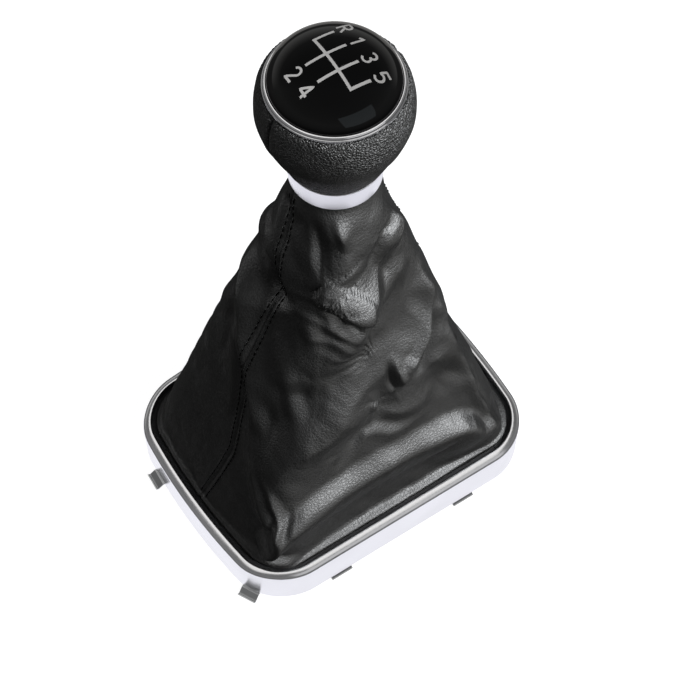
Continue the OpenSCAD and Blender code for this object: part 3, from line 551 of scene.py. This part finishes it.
# Finer folds, which only the dressed gaiter has: same form
FINE = [
    (1.5, 12, 5, [(-129, 0.773, 0), (-118, 0.724, 3.6), (-102, 0.67, 4.4), (-92, 0.59, 4.2),
        (-82, 0.494, 3.4), (-71.5, 0.413, 2.8), (-64, 0.321, 2.2), (-58, 0.26, 0)]),
    (2, 7, 7, [(-118, 0.595, 0), (-108, 0.519, -1.8), (-100, 0.423, -1.6), (-94, 0.316, 0)]),
    (1.5, 3.5, 2.6, [(-127, 0.936, 0), (-127, 0.872, 1.4), (-111, 0.852, 1.5), (-98, 0.818, 1.2),
        (-82, 0.788, 0)]),
    (1.6, 2.4, 2.8, [(-74, 0.778, 0), (-54.6, 0.788, 0.5), (-38.3, 0.803, 0.7), (-26.4, 0.714, 0.7),
        (-16.4, 0.665, 0)]),
    (1.6, 2.4, 2.8, [(-78, 0.719, 0), (-55, 0.744, 0.4), (-39.6, 0.714, 0.5), (-27.7, 0.68, 0.6),
        (-17, 0.645, 0)]),
    (1.6, 2.4, 2.8, [(-54.6, 0.695, 0), (-42, 0.68, 0.4), (-28.3, 0.655, 0.5), (-15.8, 0.616, 0)]),
    (1.6, 2.2, 2.4, [(-46.4, 0.65, 0), (-34.6, 0.635, 0.3), (-23.3, 0.616, 0.4), (-12, 0.585, 0)]),
    (1.5, 3, 4.5, [(-42, 0.818, 0), (-37, 0.798, -1.8), (-29, 0.724, -2), (-20.2, 0.695, -1.6),
        (-14, 0.665, 0)]),
    (1.5, 4, 2.6, [(-37, 1.0, 0), (-33.9, 0.975, 1.2), (-28.3, 0.95, 1.4), (-26.4, 0.93, 0.9),
        (-24.6, 0.905, 0)]),
    (1.8, 4, 4, [(-64.6, 1.0, 0), (-54.6, 0.946, -1.4), (-47.7, 0.887, -1.6), (-45.8, 0.837, 0)]),
    (1.7, 3.4, 3.4, [(41, 0.901, 0), (20.6, 0.892, -1.2), (7.1, 0.862, -1.4), (-4.5, 0.828, 0)]),
    (1.5, 3.4, 3, [(48, 0.724, 0), (44, 0.675, 0.9), (41, 0.621, 1.5), (34, 0.575, 1.7),
        (25, 0.54, 1.6), (16.4, 0.514, 1.2), (9, 0.499, 0)]),
    (1.6, 3, 4.5, [(44, 0.611, 0), (41, 0.54, -1.8), (35, 0.484, -2.2), (28.5, 0.438, -1.6),
        (20, 0.413, 0)]),
    (1.5, 3, 3, [(50, 0.57, 0), (48.5, 0.52, 1.3), (46.5, 0.46, 1.1), (45.6, 0.407, 0)]),
    (1.5, 3, 2.6, [(5.8, 0.56, 0), (5.8, 0.524, 1.2), (5.8, 0.494, 1.6), (7.1, 0.453, 0)]),
    (1.5, 2.6, 2.4, [(1.3, 0.545, 0), (1.3, 0.509, -1.2), (2.5, 0.468, -1.4), (10.4, 0.4, 0)]),
    (1.5, 3, 3.6, [(-12, 0.484, 0), (-9.5, 0.433, 1.4), (-9.5, 0.38, 1.5), (-12, 0.35, 0)]),
    (1.8, 6.5, 5, [(-30.8, 0.255, 0), (-23.9, 0.301, -1.6), (-17.1, 0.335, -2.2), (-6.4, 0.331, -2.2),
        (4.5, 0.301, -1.8), (15, 0.296, -1.2), (30, 0.301, 0)]),
    (1.5, 3, 2.8, [(46.5, 0.392, 0), (45.6, 0.316, 1.6), (44.7, 0.25, 2.1), (45.6, 0.174, 2.2),
        (44.7, 0.114, 1.6), (43, 0.089, 0)]),
    (1.6, 3, 2.6, [(46.5, 0.285, 0), (46.5, 0.22, -1.2), (47.4, 0.144, 0)]),
    (1.4, 3, 3.4, [(-59.6, 0.291, 0), (-55.2, 0.26, 1.6), (-52.1, 0.22, 2.4), (-50.2, 0.195, 2.2),
        (-50.8, 0.16, 1.6), (-52.7, 0.104, 0)]),
    (1.6, 2.4, 2.6, [(-53.3, 0.235, 0), (-52.7, 0.19, -1.4), (-53.9, 0.114, 0)]),
    (1.6, 2.4, 2.8, [(-48.9, 0.235, 0), (-48.3, 0.19, -1.4), (-48.9, 0.15, 0)]),
    (1.7, 6, 5, [(-47, 0.205, 0), (-38, 0.21, 1.1), (-28, 0.21, 1), (-20, 0.21, 0)]),
    (1.8, 6, 5, [(-72.8, 0.66, 0), (-61.4, 0.58, 1.4), (-53.3, 0.468, 1.6), (-47, 0.4, 0)]),
    (1.8, 5, 5, [(-73.4, 0.509, 0), (-64, 0.418, -1.4), (-58.3, 0.357, 0)]),
    (1.8, 5, 5, [(-58.3, 0.773, 0), (-50.2, 0.709, 1.2), (-43.9, 0.63, 0)]),
]
# the seams between the two panels: (share of the height, degrees round the lever)
REAR_SEAM = [(0, -90), (0.04, -89), (0.16, -84), (0.24, -81), (0.4, -82), (0.52, -86), (0.66, -83.5),
    (0.77, -79), (0.79, -85), (0.89, -92), (0.94, -97), (1, -104)]
FRONT_SEAM = [(0, 90), (0.35, 84), (0.7, 96), (1, 88)]
SPAN = NECK_Z - RISE_Z


def smooth_line(points, parts=4):
    """A Catmull-Rom curve through the points, each stretch cut into parts."""
    p = np.array(points, float)
    p = np.vstack([2 * p[0] - p[1], p, 2 * p[-1] - p[-2]])
    out = []
    for i in range(1, len(p) - 2):
        for k in range(parts):
            t = k / parts
            out.append(0.5 * (2 * p[i] + (p[i + 1] - p[i - 1]) * t
                + (2 * p[i - 1] - 5 * p[i] + 4 * p[i + 1] - p[i + 2]) * t * t
                + (3 * p[i] - p[i - 1] - 3 * p[i + 1] + p[i + 2]) * t ** 3))
    out.append(p[-2])
    return np.array(out)


def turned(a):
    """An angle in degrees, brought to -180 to 180."""
    return (a + 180) % 360 - 180


def foot(turn):
    """Where the leather starts inside the frame, in each direction."""
    c, s = np.abs(np.cos(turn)) + 1e-12, np.abs(np.sin(turn)) + 1e-12
    b, a, r = HALF_W - RECESS, HALF_L - RECESS, CORNER_R - RECESS
    d = (b - r) * c + (a - r) * s
    e = d * d - (b - r) ** 2 - (a - r) ** 2 + r * r
    reach = np.where(b * s <= (a - r) * c, b / c,
        np.where(a * c <= (b - r) * s, a / s, d + np.sqrt(np.maximum(e, 0))))
    return in_plan(reach * np.cos(turn), reach * np.sin(turn))


def wave(seed, x, y):
    """Smooth noise from -1 to 1 on a unit lattice."""
    def h(i, j):
        n = np.sin(i * 127.1 + j * 311.7 + seed * 74.7) * 43758.5453
        return 2 * (n - np.floor(n)) - 1
    i, j = np.floor(x), np.floor(y)
    u, v = x - i, y - j
    u, v = u * u * (3 - 2 * u), v * v * (3 - 2 * v)
    low = h(i, j) * (1 - u) + h(i + 1, j) * u
    high = h(i, j + 1) * (1 - u) + h(i + 1, j + 1) * u
    return low * (1 - v) + high * v


def fold_lift(turn, share, r):
    """Sum of the folds' lifts on a grid of directions in degrees, shares of the height and radii."""
    total = np.zeros_like(turn)
    for sharp, reach_left, reach_right, points in FOLDS + FINE:
        line = smooth_line(points)
        best = np.full(turn.shape, 1e9)
        side = np.zeros_like(turn)
        lift = np.zeros_like(turn)
        k = r * math.pi / 180
        for a, b in zip(line[:-1], line[1:]):
            ax, ay = turned(a[0] - turn) * k, (a[1] - share) * SPAN
            dx, dy = (b[0] - a[0]) * k, (b[1] - a[1]) * SPAN
            t = np.clip(-(ax * dx + ay * dy) / np.maximum(1e-9, dx * dx + dy * dy), 0, 1)
            px, py = ax + t * dx, ay + t * dy
            d = np.hypot(px, py)
            near = d < best
            best = np.where(near, d, best)
            cross = (dy * ax - dx * ay) / np.maximum(1e-9, np.hypot(dx, dy) * d)
            side = np.where(near, cross, side)
            lift = np.where(near, a[2] + t * (b[2] - a[2]), lift)
        # the reach goes softly from one side's to the other's where a fold ends
        reach = reach_right + (reach_left - reach_right) * np.clip(0.5 + 0.7 * side, 0, 1)
        d = best / reach
        total += np.where(d < 1, lift * (1 - np.minimum(d, 1) ** sharp) ** 2, 0)
    return total


# The gaiter's grid: rows, closer where it meets the frame, and columns, closer where the photograph
# shows it
ROWS_Z = np.unique(np.concatenate([np.linspace(a, b, n) for a, b, n in (
    (HEM_Z, RISE_Z, 8), (RISE_Z, 24, 16), (24, 63, 44), (63, 130, 74), (130, NECK_Z, 80),
    (NECK_Z, TOP_Z, 6))]))
dense = np.linspace(0, 1, 2001)
angle = -180 + 360 * dense
weight = 1 + 0.9 * np.exp(-((angle + 40) / 85.0) ** 4)
cumul = np.concatenate([[0], np.cumsum((weight[1:] + weight[:-1]) / 2)])
COLS = 420
TURN = np.interp(np.linspace(0, cumul[-1], COLS + 1)[:-1], cumul, angle)
# How far the leather is drawn in at each height: it bulges towards the rim (below 0) and is drawn in
# just above it, most of all on the right
FOOT_IN = [(HEM_Z, 0), (19.7, 0), (20.3, -0.3), (21, -1.0), (21.8, -1.2), (22.5, -0.9), (23.1, 0.1),
    (23.8, 1.2), (25, 1.9), (28, 2.0), (33, 1.5), (38, 0.7), (44, 0), (TOP_Z, 0)]
# The pinch on the right side that fine wrinkles spread from: degrees and share of the height
PINCH = (-5, 0.575)


def gaiter_surface():
    """The gaiter's outer side: a straight taper from frame to neck, with folds, wrinkles and seams."""
    z, turn = np.meshgrid(ROWS_Z, TURN, indexing="ij")
    share = (z - RISE_Z) / SPAN
    t = np.clip(share, 0, 1)
    rad = np.radians(turn)
    foot_x, foot_y = foot(rad)
    x = foot_x * (1 - t) + (LEVER_X + NECK_R * np.cos(rad)) * t
    y = foot_y * (1 - t) + (LEVER_Y + NECK_R * np.sin(rad)) * t
    mid_x, mid_y = LEVER_X * t, LEVER_Y * t
    r = np.hypot(x - mid_x, y - mid_y)
    out_x, out_y = (x - mid_x) / r, (y - mid_y) / r
    # the folds fade out just above the frame and just below the collar
    fade = np.clip(np.minimum(t / 0.03, (1 - t) / 0.06), 0, 1)
    fade = fade * fade * (3 - 2 * fade)
    u, v = np.radians(turn) * r, share * SPAN
    lift = fold_lift(turn, t, r)
    # soft unevenness of three sizes
    lift += (0.55 * wave(1, u / 17, v / 21) + 0.3 * wave(2, (u + v) / 9, (u - v) / 14)
        + 0.1 * wave(3, (u - 0.6 * v) / 3.4, v / 7))
    # wrinkles that spread up and to the left from the pinch
    from_x, from_y = turned(turn - PINCH[0]) * r * math.pi / 180, (share - PINCH[1]) * SPAN
    rho, theta = np.hypot(from_x, from_y) + 1e-6, np.degrees(np.arctan2(from_y, from_x))
    sector = np.clip(1 - np.abs(turned(theta - 145)) / 75, 0, 1)
    rays = np.sin(np.radians(theta * 17 + 50 * wave(4, rho / 8, theta / 20)))
    lift += 0.55 * rays * sector * np.exp(-((rho - 7) / 12) ** 2)
    lift *= fade
    # seams: a narrow groove in a low, broader ridge
    for seam in (REAR_SEAM, FRONT_SEAM):
        line = np.array(seam)
        at = np.interp(np.clip(share, 0, 1), line[:, 0], line[:, 1])
        d = turned(turn - at) * r * math.pi / 180
        section = 0.35 * np.exp(-(d / 2.4) ** 2) - 0.9 * np.exp(-(d / 0.55) ** 2)
        lift += section * np.clip((z - HEM_Z) / 12, 0, 1)
    rolls = np.array(FOOT_IN)
    tuck = np.interp(z, rolls[:, 0], rolls[:, 1])
    rolled = 0.3 + 0.7 * np.clip((100 - np.abs(turn - 20)) / 25, 0, 1)
    lift -= np.where(tuck > 0, tuck * rolled, tuck)
    lift = np.where(z > NECK_Z, np.minimum(lift, 0), lift)
    return np.stack([x + out_x * lift, y + out_y * lift, z], -1)


def grid_normals(p):
    """Normals of a grid of points that is closed sideways."""
    du = np.roll(p, -1, 1) - np.roll(p, 1, 1)
    dv = np.empty_like(p)
    dv[1:-1] = p[2:] - p[:-2]
    dv[0], dv[-1] = p[1] - p[0], p[-1] - p[-2]
    n = np.cross(du, dv)
    return n / np.maximum(1e-12, np.linalg.norm(n, axis=2, keepdims=True))


# points along a stitch and round it, and the distance of the two rows from the seam
STEPS, SIDES, ROW_OFF = 6, 6, 1.7


def stitches(surface, normals, seam, offset):
    """Threads along a seam at a distance from it: each a bowed capsule, as (height, verts, faces)."""
    path = np.array(seam)
    heights = np.arange(24, 199, 0.25)
    foot_r = 52
    pitch, length, thick, flat, bow, sunk = 3.1, 2.4, 0.27, 0.8, 0.22, 0.05
    line, ups = [], []

    def pick(g):
        low, high = (g[k, i] * (1 - q) + g[k, (i + 1) % COLS] * q for k in (j, j + 1))
        return low * (1 - w) + high * w

    for z in heights:
        share = (z - RISE_Z) / SPAN
        j = int(np.searchsorted(ROWS_Z, z)) - 1
        w = (z - ROWS_Z[j]) / (ROWS_Z[j + 1] - ROWS_Z[j])
        r = np.interp(share, [0, 1], [foot_r, NECK_R])
        a = turned(np.interp(share, path[:, 0], path[:, 1]) + offset / r * 180 / math.pi)
        i = int(np.searchsorted(TURN, a)) - 1
        q = (a - TURN[i]) / (TURN[(i + 1) % COLS] - TURN[i]) if i < COLS - 1 else 0
        line.append(pick(surface))
        ups.append(pick(normals))
    line, ups = np.array(line), np.array(ups)
    run = np.concatenate([[0], np.cumsum(np.linalg.norm(np.diff(line, axis=0), axis=1))])
    out = []
    for k in range(int(run[-1] / pitch)):
        pts, radii, outs = [], [], []
        for q in np.linspace(0, 1, STEPS):
            d = k * pitch + q * length
            p = np.array([np.interp(d, run, line[:, c]) for c in range(3)])
            n = np.array([np.interp(d, run, ups[:, c]) for c in range(3)])
            n /= np.linalg.norm(n)
            lift = bow * math.sin(math.pi * q) - sunk
            pts.append(p + n * lift)
            outs.append(n)
            radii.append(thick * (0.55 + 0.45 * math.sin(math.pi * q)))
        pts = np.array(pts)
        way = np.gradient(pts, axis=0)
        way /= np.linalg.norm(way, axis=1, keepdims=True)
        v = []
        for p, w, n, radius in zip(pts, way, outs, radii):
            side = np.cross(w, n)
            side /= np.linalg.norm(side)
            up = np.cross(side, w)
            for a in range(SIDES):
                c = math.radians(360 / SIDES * a)
                v.append(p + side * math.cos(c) * radius + up * math.sin(c) * radius * flat)
        f = grid_faces(STEPS, SIDES, closed=True)
        f.append(tuple(range(SIDES - 1, -1, -1)))
        f.append(tuple(range((STEPS - 1) * SIDES, STEPS * SIDES)))
        out.append((float(pts[:, 2].mean()), np.array(v), f))
    return out


surface = gaiter_surface()
normals = grid_normals(surface)
inner = surface - normals * LEATHER_T
threads = []
for seam in (REAR_SEAM, FRONT_SEAM):
    for off in (-ROW_OFF, ROW_OFF):
        threads += stitches(surface, normals, seam, off)
# name, lowest and highest row, the two bodies it blends between, from which height to which, its flat
# size and area in metres, and what holds it
BANDS = [
    ("gaiter_lower", HEM_Z, 63, "frame", "push_stage", 24, 62,
        (0.428, 0.06), 0.0227, "retaining_frame"),
    ("gaiter_middle", 63, 130, "push_stage", "shift_stage", 63, 130,
        (0.357, 0.072), 0.0209, "gaiter_upper"),
    ("gaiter_upper", 130, TOP_Z, "shift_stage", "knob", 130, 200,
        (0.229, 0.081), 0.0129, "neck_ring"),
]
for name, lowest, highest, body_a, body_b, start, stop, cut, area, holder in BANDS:
    rows = np.where((ROWS_Z >= lowest - 1e-6) & (ROWS_Z <= highest + 1e-6))[0]
    outer = surface[rows].reshape(-1, 3)
    verts = [outer]
    faces = grid_faces(len(rows), COLS, closed=True)
    slots = [0] * len(faces)
    norms = [normals[rows].reshape(-1, 3)]
    # the backing, coarser, and the cut edges that join it to the outer side
    back_rows = rows[::3] if rows[::3][-1] == rows[-1] else np.append(rows[::3], rows[-1])
    back_cols = np.arange(0, COLS, 3)
    first = sum(len(v) for v in verts)
    back = inner[np.ix_(back_rows, back_cols)]
    verts.append(back.reshape(-1, 3))
    norms.append(-normals[np.ix_(back_rows, back_cols)].reshape(-1, 3))
    more = grid_faces(len(back_rows), len(back_cols), closed=True, first=first, flip=True)
    faces += more
    slots += [1] * len(more)
    for end, row, back_row in (("low", 0, 0), ("high", len(rows) - 1, len(back_rows) - 1)):
        for c in range(len(back_cols)):
            q = [row * COLS + (3 * c + k) % COLS for k in range(4)]
            q += [first + back_row * len(back_cols) + (c + 1) % len(back_cols),
                first + back_row * len(back_cols) + c]
            faces.append(tuple(q if end == "high" else q[::-1]))
            slots.append(1)
    for middle, v, f in threads:
        if lowest <= middle < highest:
            first = sum(len(q) for q in verts)
            verts.append(v)
            loops = v.reshape(STEPS, SIDES, 3)
            around = (loops - loops.mean(1, keepdims=True)).reshape(-1, 3)
            norms.append(around / np.linalg.norm(around, axis=1, keepdims=True))
            faces += [tuple(first + i for i in q) for q in f]
            slots += [2] * len(f)
    o = make(name, np.concatenate(verts), faces, [M_GAITER, M_BACK, M_THREAD], indices=slots)
    o.data.normals_split_custom_set_from_vertices([tuple(n) for n in np.concatenate(norms)])
    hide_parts("gaiter_left_panel", "gaiter_right_panel")
    skins(o)
    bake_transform(o)

# Collar: its radii at the foot, at the top, at the hole in its top and under it, and its thicknesses
FOOT_R, SHOULDER_R, HOLE_R, INSIDE_R, COLLAR_WALL, COLLAR_TOP = 16.2, 16.9, 13.3, 15.1, 1.2, 1.8
collar_sec = [(FOOT_R - COLLAR_WALL, COLLAR_Z), (FOOT_R, COLLAR_Z), (SHOULDER_R, GRIP_Z),
    (HOLE_R, GRIP_Z), (HOLE_R, GRIP_Z - COLLAR_TOP), (INSIDE_R, GRIP_Z - COLLAR_TOP)]
collar = lathe("collar_ring", rounded(collar_sec, 0.3, 4), 192, [M_COLLAR], "knob", ["collar"],
    sharp=50)
metal(collar)
no_key(collar)

# Grip, in two halves sewn together
# the cover's (share of the height, radius), its height and thickness, half a seam's gap in degrees,
# and the closer columns beside a seam, in degrees
PROFILE = [(0, 16.6), (0.05, 17.7), (0.17, 19.6), (0.34, 22.3), (0.5, 24.7), (0.61, 25.8), (0.7, 26.2),
    (0.8, 26.05), (0.9, 25.4), (0.96, 24.7), (1, 23.7)]
GRIP_H, GRIP_T, SEAM_GAP = 37.7, 1.6, 0.35
BY_SEAM = np.array([0, 0.25, 0.5, 0.8, 1.2, 1.7, 2.4, 3.3])


def grip(name, node, a0, a1):
    """One half of the grip's cover, from one seam to the other in degrees, drawn in at both seams."""
    curve = smooth_line([(s * GRIP_H + GRIP_Z + 0.3, r) for s, r in PROFILE], 6)
    heights, radii = curve[:, 0], curve[:, 1]
    turns = np.radians(np.concatenate([a0 + SEAM_GAP + BY_SEAM, np.linspace(a0 + 5, a1 - 5, 110),
        a1 - SEAM_GAP - BY_SEAM[::-1]]))
    rows = [(radii[0] - 1.5, heights[0] + 0.05), (radii[0] - 0.5, heights[0])]
    rows += zip(radii, heights)
    rows += [(radii[-1] - 0.6, heights[-1]), (radii[-1] - 1.5, heights[-1] - 0.1)]
    v = []
    for r, z in rows:
        # the seam draws the edge in, with a low ridge beside it
        d = np.minimum(np.abs(turns - math.radians(a0)), np.abs(math.radians(a1) - turns)) * r
        dip = 1.2 * np.exp(-(d / 0.75) ** 2) - 0.18 * np.exp(-((d - 2.2) / 1.2) ** 2)
        ripple = 0.12 * wave(9, turns * r / 6, np.full_like(turns, z) / 5)
        # a ring of fine gathers where the leather tucks under the ring and the collar
        gather = 0.16 * np.sin(turns * 95) * (math.exp(-((heights[-1] - z) / 2.2) ** 2)
            + 0.6 * math.exp(-((z - heights[0]) / 2.0) ** 2))
        q = r - dip * min(1, max(0.2, (r - 14) / 3)) + ripple + gather
        v += [(LEVER_X + q[i] * math.cos(turns[i]), LEVER_Y + q[i] * math.sin(turns[i]), z)
            for i in range(len(turns))]
    n = len(turns)
    f = grid_faces(len(rows), n)
    # the leather's inner face
    first = len(v)
    for r, z in rows[1:-1]:
        v += [(LEVER_X + (r - GRIP_T) * math.cos(t), LEVER_Y + (r - GRIP_T) * math.sin(t),
            min(max(z, heights[0] + 0.1), heights[-1] - 0.1)) for t in turns]
    f += grid_faces(len(rows) - 2, n, first=first, flip=True)
    o = make(name, v, f, [M_GRIP], "knob", [node])
    skins(o)
    return o


grip("grip_cover_right", "grip_right", -90, 90)
grip("grip_cover_left", "grip_left", 90, 270)

# Polished ring and glossy cap
# the ring's radius, width and height, and the cap's rise above it
RING_R, RING_W, RING_H, RISE = 23.2, 1.5, 1.9, 11.0
low = RING_Z + 0.1
inner_r = RING_R - RING_W
# two lips with a small step between them, the lower one wider: (from the radius, from below)
lips = ((-0.3, 0), (0, 0.25), (0.03, 0.55), (-0.12, 0.85), (-0.38, 0.98), (-0.44, 1.12), (-0.52, 1.4),
    (-0.78, 1.72))
ring_sec = [(inner_r, low)] + [(RING_R + d, low + h) for d, h in lips]
ring_sec += [(RING_R - 1.1, low + RING_H), (inner_r + 0.1, low + RING_H - 0.03),
    (inner_r, low + RING_H - 0.2)]
bead = lathe("ring_bead", rounded(ring_sec, 0.14, 2), 240, [M_RING], "knob", ["chrome_ring"])
metal(bead)
no_key(bead)
CAP_R, EDGE_Z = inner_r - 0.04, RING_Z + 1.7


def dome_z(x, y):
    """Height of the cap's surface: half an ellipsoid on the ring."""
    return EDGE_Z + RISE * math.sqrt(max(0.0, 1 - (x * x + y * y) / CAP_R ** 2))


CROWN_STEPS = 40
crown = []
for i in range(CROWN_STEPS):
    a = math.radians(90 / CROWN_STEPS * i)
    crown.append((CAP_R * math.cos(a), EDGE_Z + RISE * math.sin(a)))
crown.append((0, EDGE_Z + RISE))
# below the crown: a flat underside with the rim that snaps over the carrier
UNDER_Z, SNAP_Z, SNAP_IN, SNAP_OUT = RING_Z + 0.3, RING_Z - 1.7, 17.8, 19.0
below = [(0, UNDER_Z), (SNAP_IN, UNDER_Z), (SNAP_IN, SNAP_Z), (SNAP_OUT, SNAP_Z),
    (SNAP_OUT, UNDER_Z), (CAP_R, UNDER_Z)]
dome = lathe("cap_dome", below + crown, 192, [M_CAP], "knob", ["cap"], sharp=50)
gloss(dome)
no_key(dome)

# Shift pattern, printed on the cap
# the pattern's turn, its middle on the cap, how far the print stands on it, and the strokes' steps
TILT = math.radians(-4.34)
PRINT_X, PRINT_Y = 4.31, -1.64
INK = 0.05
STROKE_STEP = 0.35


def ribbon(points, width, verts, faces):
    """A flat stroke of even width that follows the dome."""
    p = []
    for a, b in zip(points[:-1], points[1:]):
        n = max(1, int(math.dist(a, b) / STROKE_STEP))
        p += [(a[0] + (b[0] - a[0]) * k / n, a[1] + (b[1] - a[1]) * k / n) for k in range(n)]
    p = np.array(p + [points[-1]], float)
    way = np.gradient(p, axis=0)
    if len(p) > 2:
        way[0], way[-1] = p[1] - p[0], p[-1] - p[-2]
    way /= np.maximum(1e-9, np.linalg.norm(way, axis=1, keepdims=True))
    side = np.stack([-way[:, 1], way[:, 0]], 1)
    first = len(verts)
    for q, s in zip(p, side):
        for k in (-0.5, 0, 0.5):
            x, y = q + s * width * k
            x, y = (PRINT_X + x * math.cos(TILT) - y * math.sin(TILT),
                PRINT_Y + x * math.sin(TILT) + y * math.cos(TILT))
            verts.append((LEVER_X + x, LEVER_Y + y, dome_z(x, y) + INK))
    for j in range(len(p) - 1):
        for k in (0, 1):
            a = first + 3 * j + k
            faces.append((a, a + 3, a + 4, a + 1))


def arc(cx, cy, rx, ry, a0, a1):
    """Points of an elliptic arc from one angle to another, in degrees."""
    n = 14
    turns = [math.radians(a0 + (a1 - a0) * k / n) for k in range(n + 1)]
    return [(cx + rx * math.cos(a), cy + ry * math.sin(a)) for a in turns]


# the gate: the lines' spacing, their front and back ends, and their width
GATE, FRONT, BACK, LINE_W = 7.27, 7.27, -7.45, 1.0
strokes = [[(-GATE, BACK), (-GATE, FRONT)], [(0, BACK), (0, FRONT)], [(-GATE, 0), (GATE, 0)],
    [(GATE, -LINE_W / 2), (GATE, FRONT)], [(-2 * GATE, FRONT), (-2 * GATE, -LINE_W / 2)],
    [(-2 * GATE, 0), (-GATE, 0)]]
verts, faces = [], []
for s in strokes:
    ribbon(s, LINE_W, verts, faces)
# digits on a box 1 wide and 1.5 high about the origin, that box's scale, and the stroke's width
DIGIT, PEN = 3.3, 0.8
DIGITS = {
    "1": [[(-0.3, 0.42), (0.08, 0.75), (0.08, -0.75)]],
    "2": [arc(0, 0.32, 0.42, 0.42, 160, -35) + [(-0.45, -0.72), (0.48, -0.72)]],
    "3": [arc(-0.02, 0.37, 0.4, 0.37, 150, -80), arc(-0.02, -0.34, 0.44, 0.4, 85, -150)],
    "4": [[(0.2, -0.75), (0.2, 0.75), (-0.48, -0.32), (0.5, -0.32)]],
    "5": [[(0.4, 0.72), (-0.3, 0.72), (-0.36, 0.08)] + arc(-0.02, -0.27, 0.44, 0.45, 125, -140)],
    "R": [[(-0.38, -0.75), (-0.38, 0.72), (0.05, 0.72)]
        + arc(0.05, 0.36, 0.36, 0.36, 90, -90) + [(-0.38, 0.0)],
        [(0.02, 0.0), (0.45, -0.75)]],
}
PLACES = (("R", -2 * GATE, 11.2), ("1", -GATE, 11.2), ("3", 0, 11.3), ("5", GATE, 11.3),
    ("2", -GATE, -11.6), ("4", 0, -11.7))
for name, x, y in PLACES:
    for s in DIGITS[name]:
        ribbon([(x + DIGIT * a, y + DIGIT * b) for a, b in s], PEN, verts, faces)
pattern = make("shift_pattern", verts, faces, [M_PRINT], "knob", [])
ink(pattern)
no_key(pattern)

# Materials for the nodes that stay
MOULDED = ("retaining_frame", "neck_ring", "lever_sleeve", "knob_core", "cap_carrier")
KEEP = dict.fromkeys(MOULDED, M_BLACK)
KEEP["ear_clamp"] = M_STEEL
for node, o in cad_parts.items():
    m = M_STEEL if node.startswith("clip_") else KEEP.get(node)
    if m:
        for place in o.material_slots:
            place.material = m
    if node.startswith("clip_"):
        metal(o)
        no_key(o)

# Floor, and a white wall for low views
bpy.ops.mesh.primitive_grid_add(x_subdivisions=8, y_subdivisions=8, size=8, location=(0, 0, -0.0002))
floor = bpy.context.object
floor.name = "floor"
bpy.ops.mesh.primitive_uv_sphere_add(segments=48, ring_count=24, radius=5.5, location=(0, 0, 0))
backdrop = bpy.context.object
backdrop.name = "backdrop"
for o in (floor, backdrop):
    o.data.materials.append(M_FLOOR)
    o.visible_glossy = False
    o.visible_diffuse = False
    o.visible_shadow = False

bpy.context.view_layer.update()
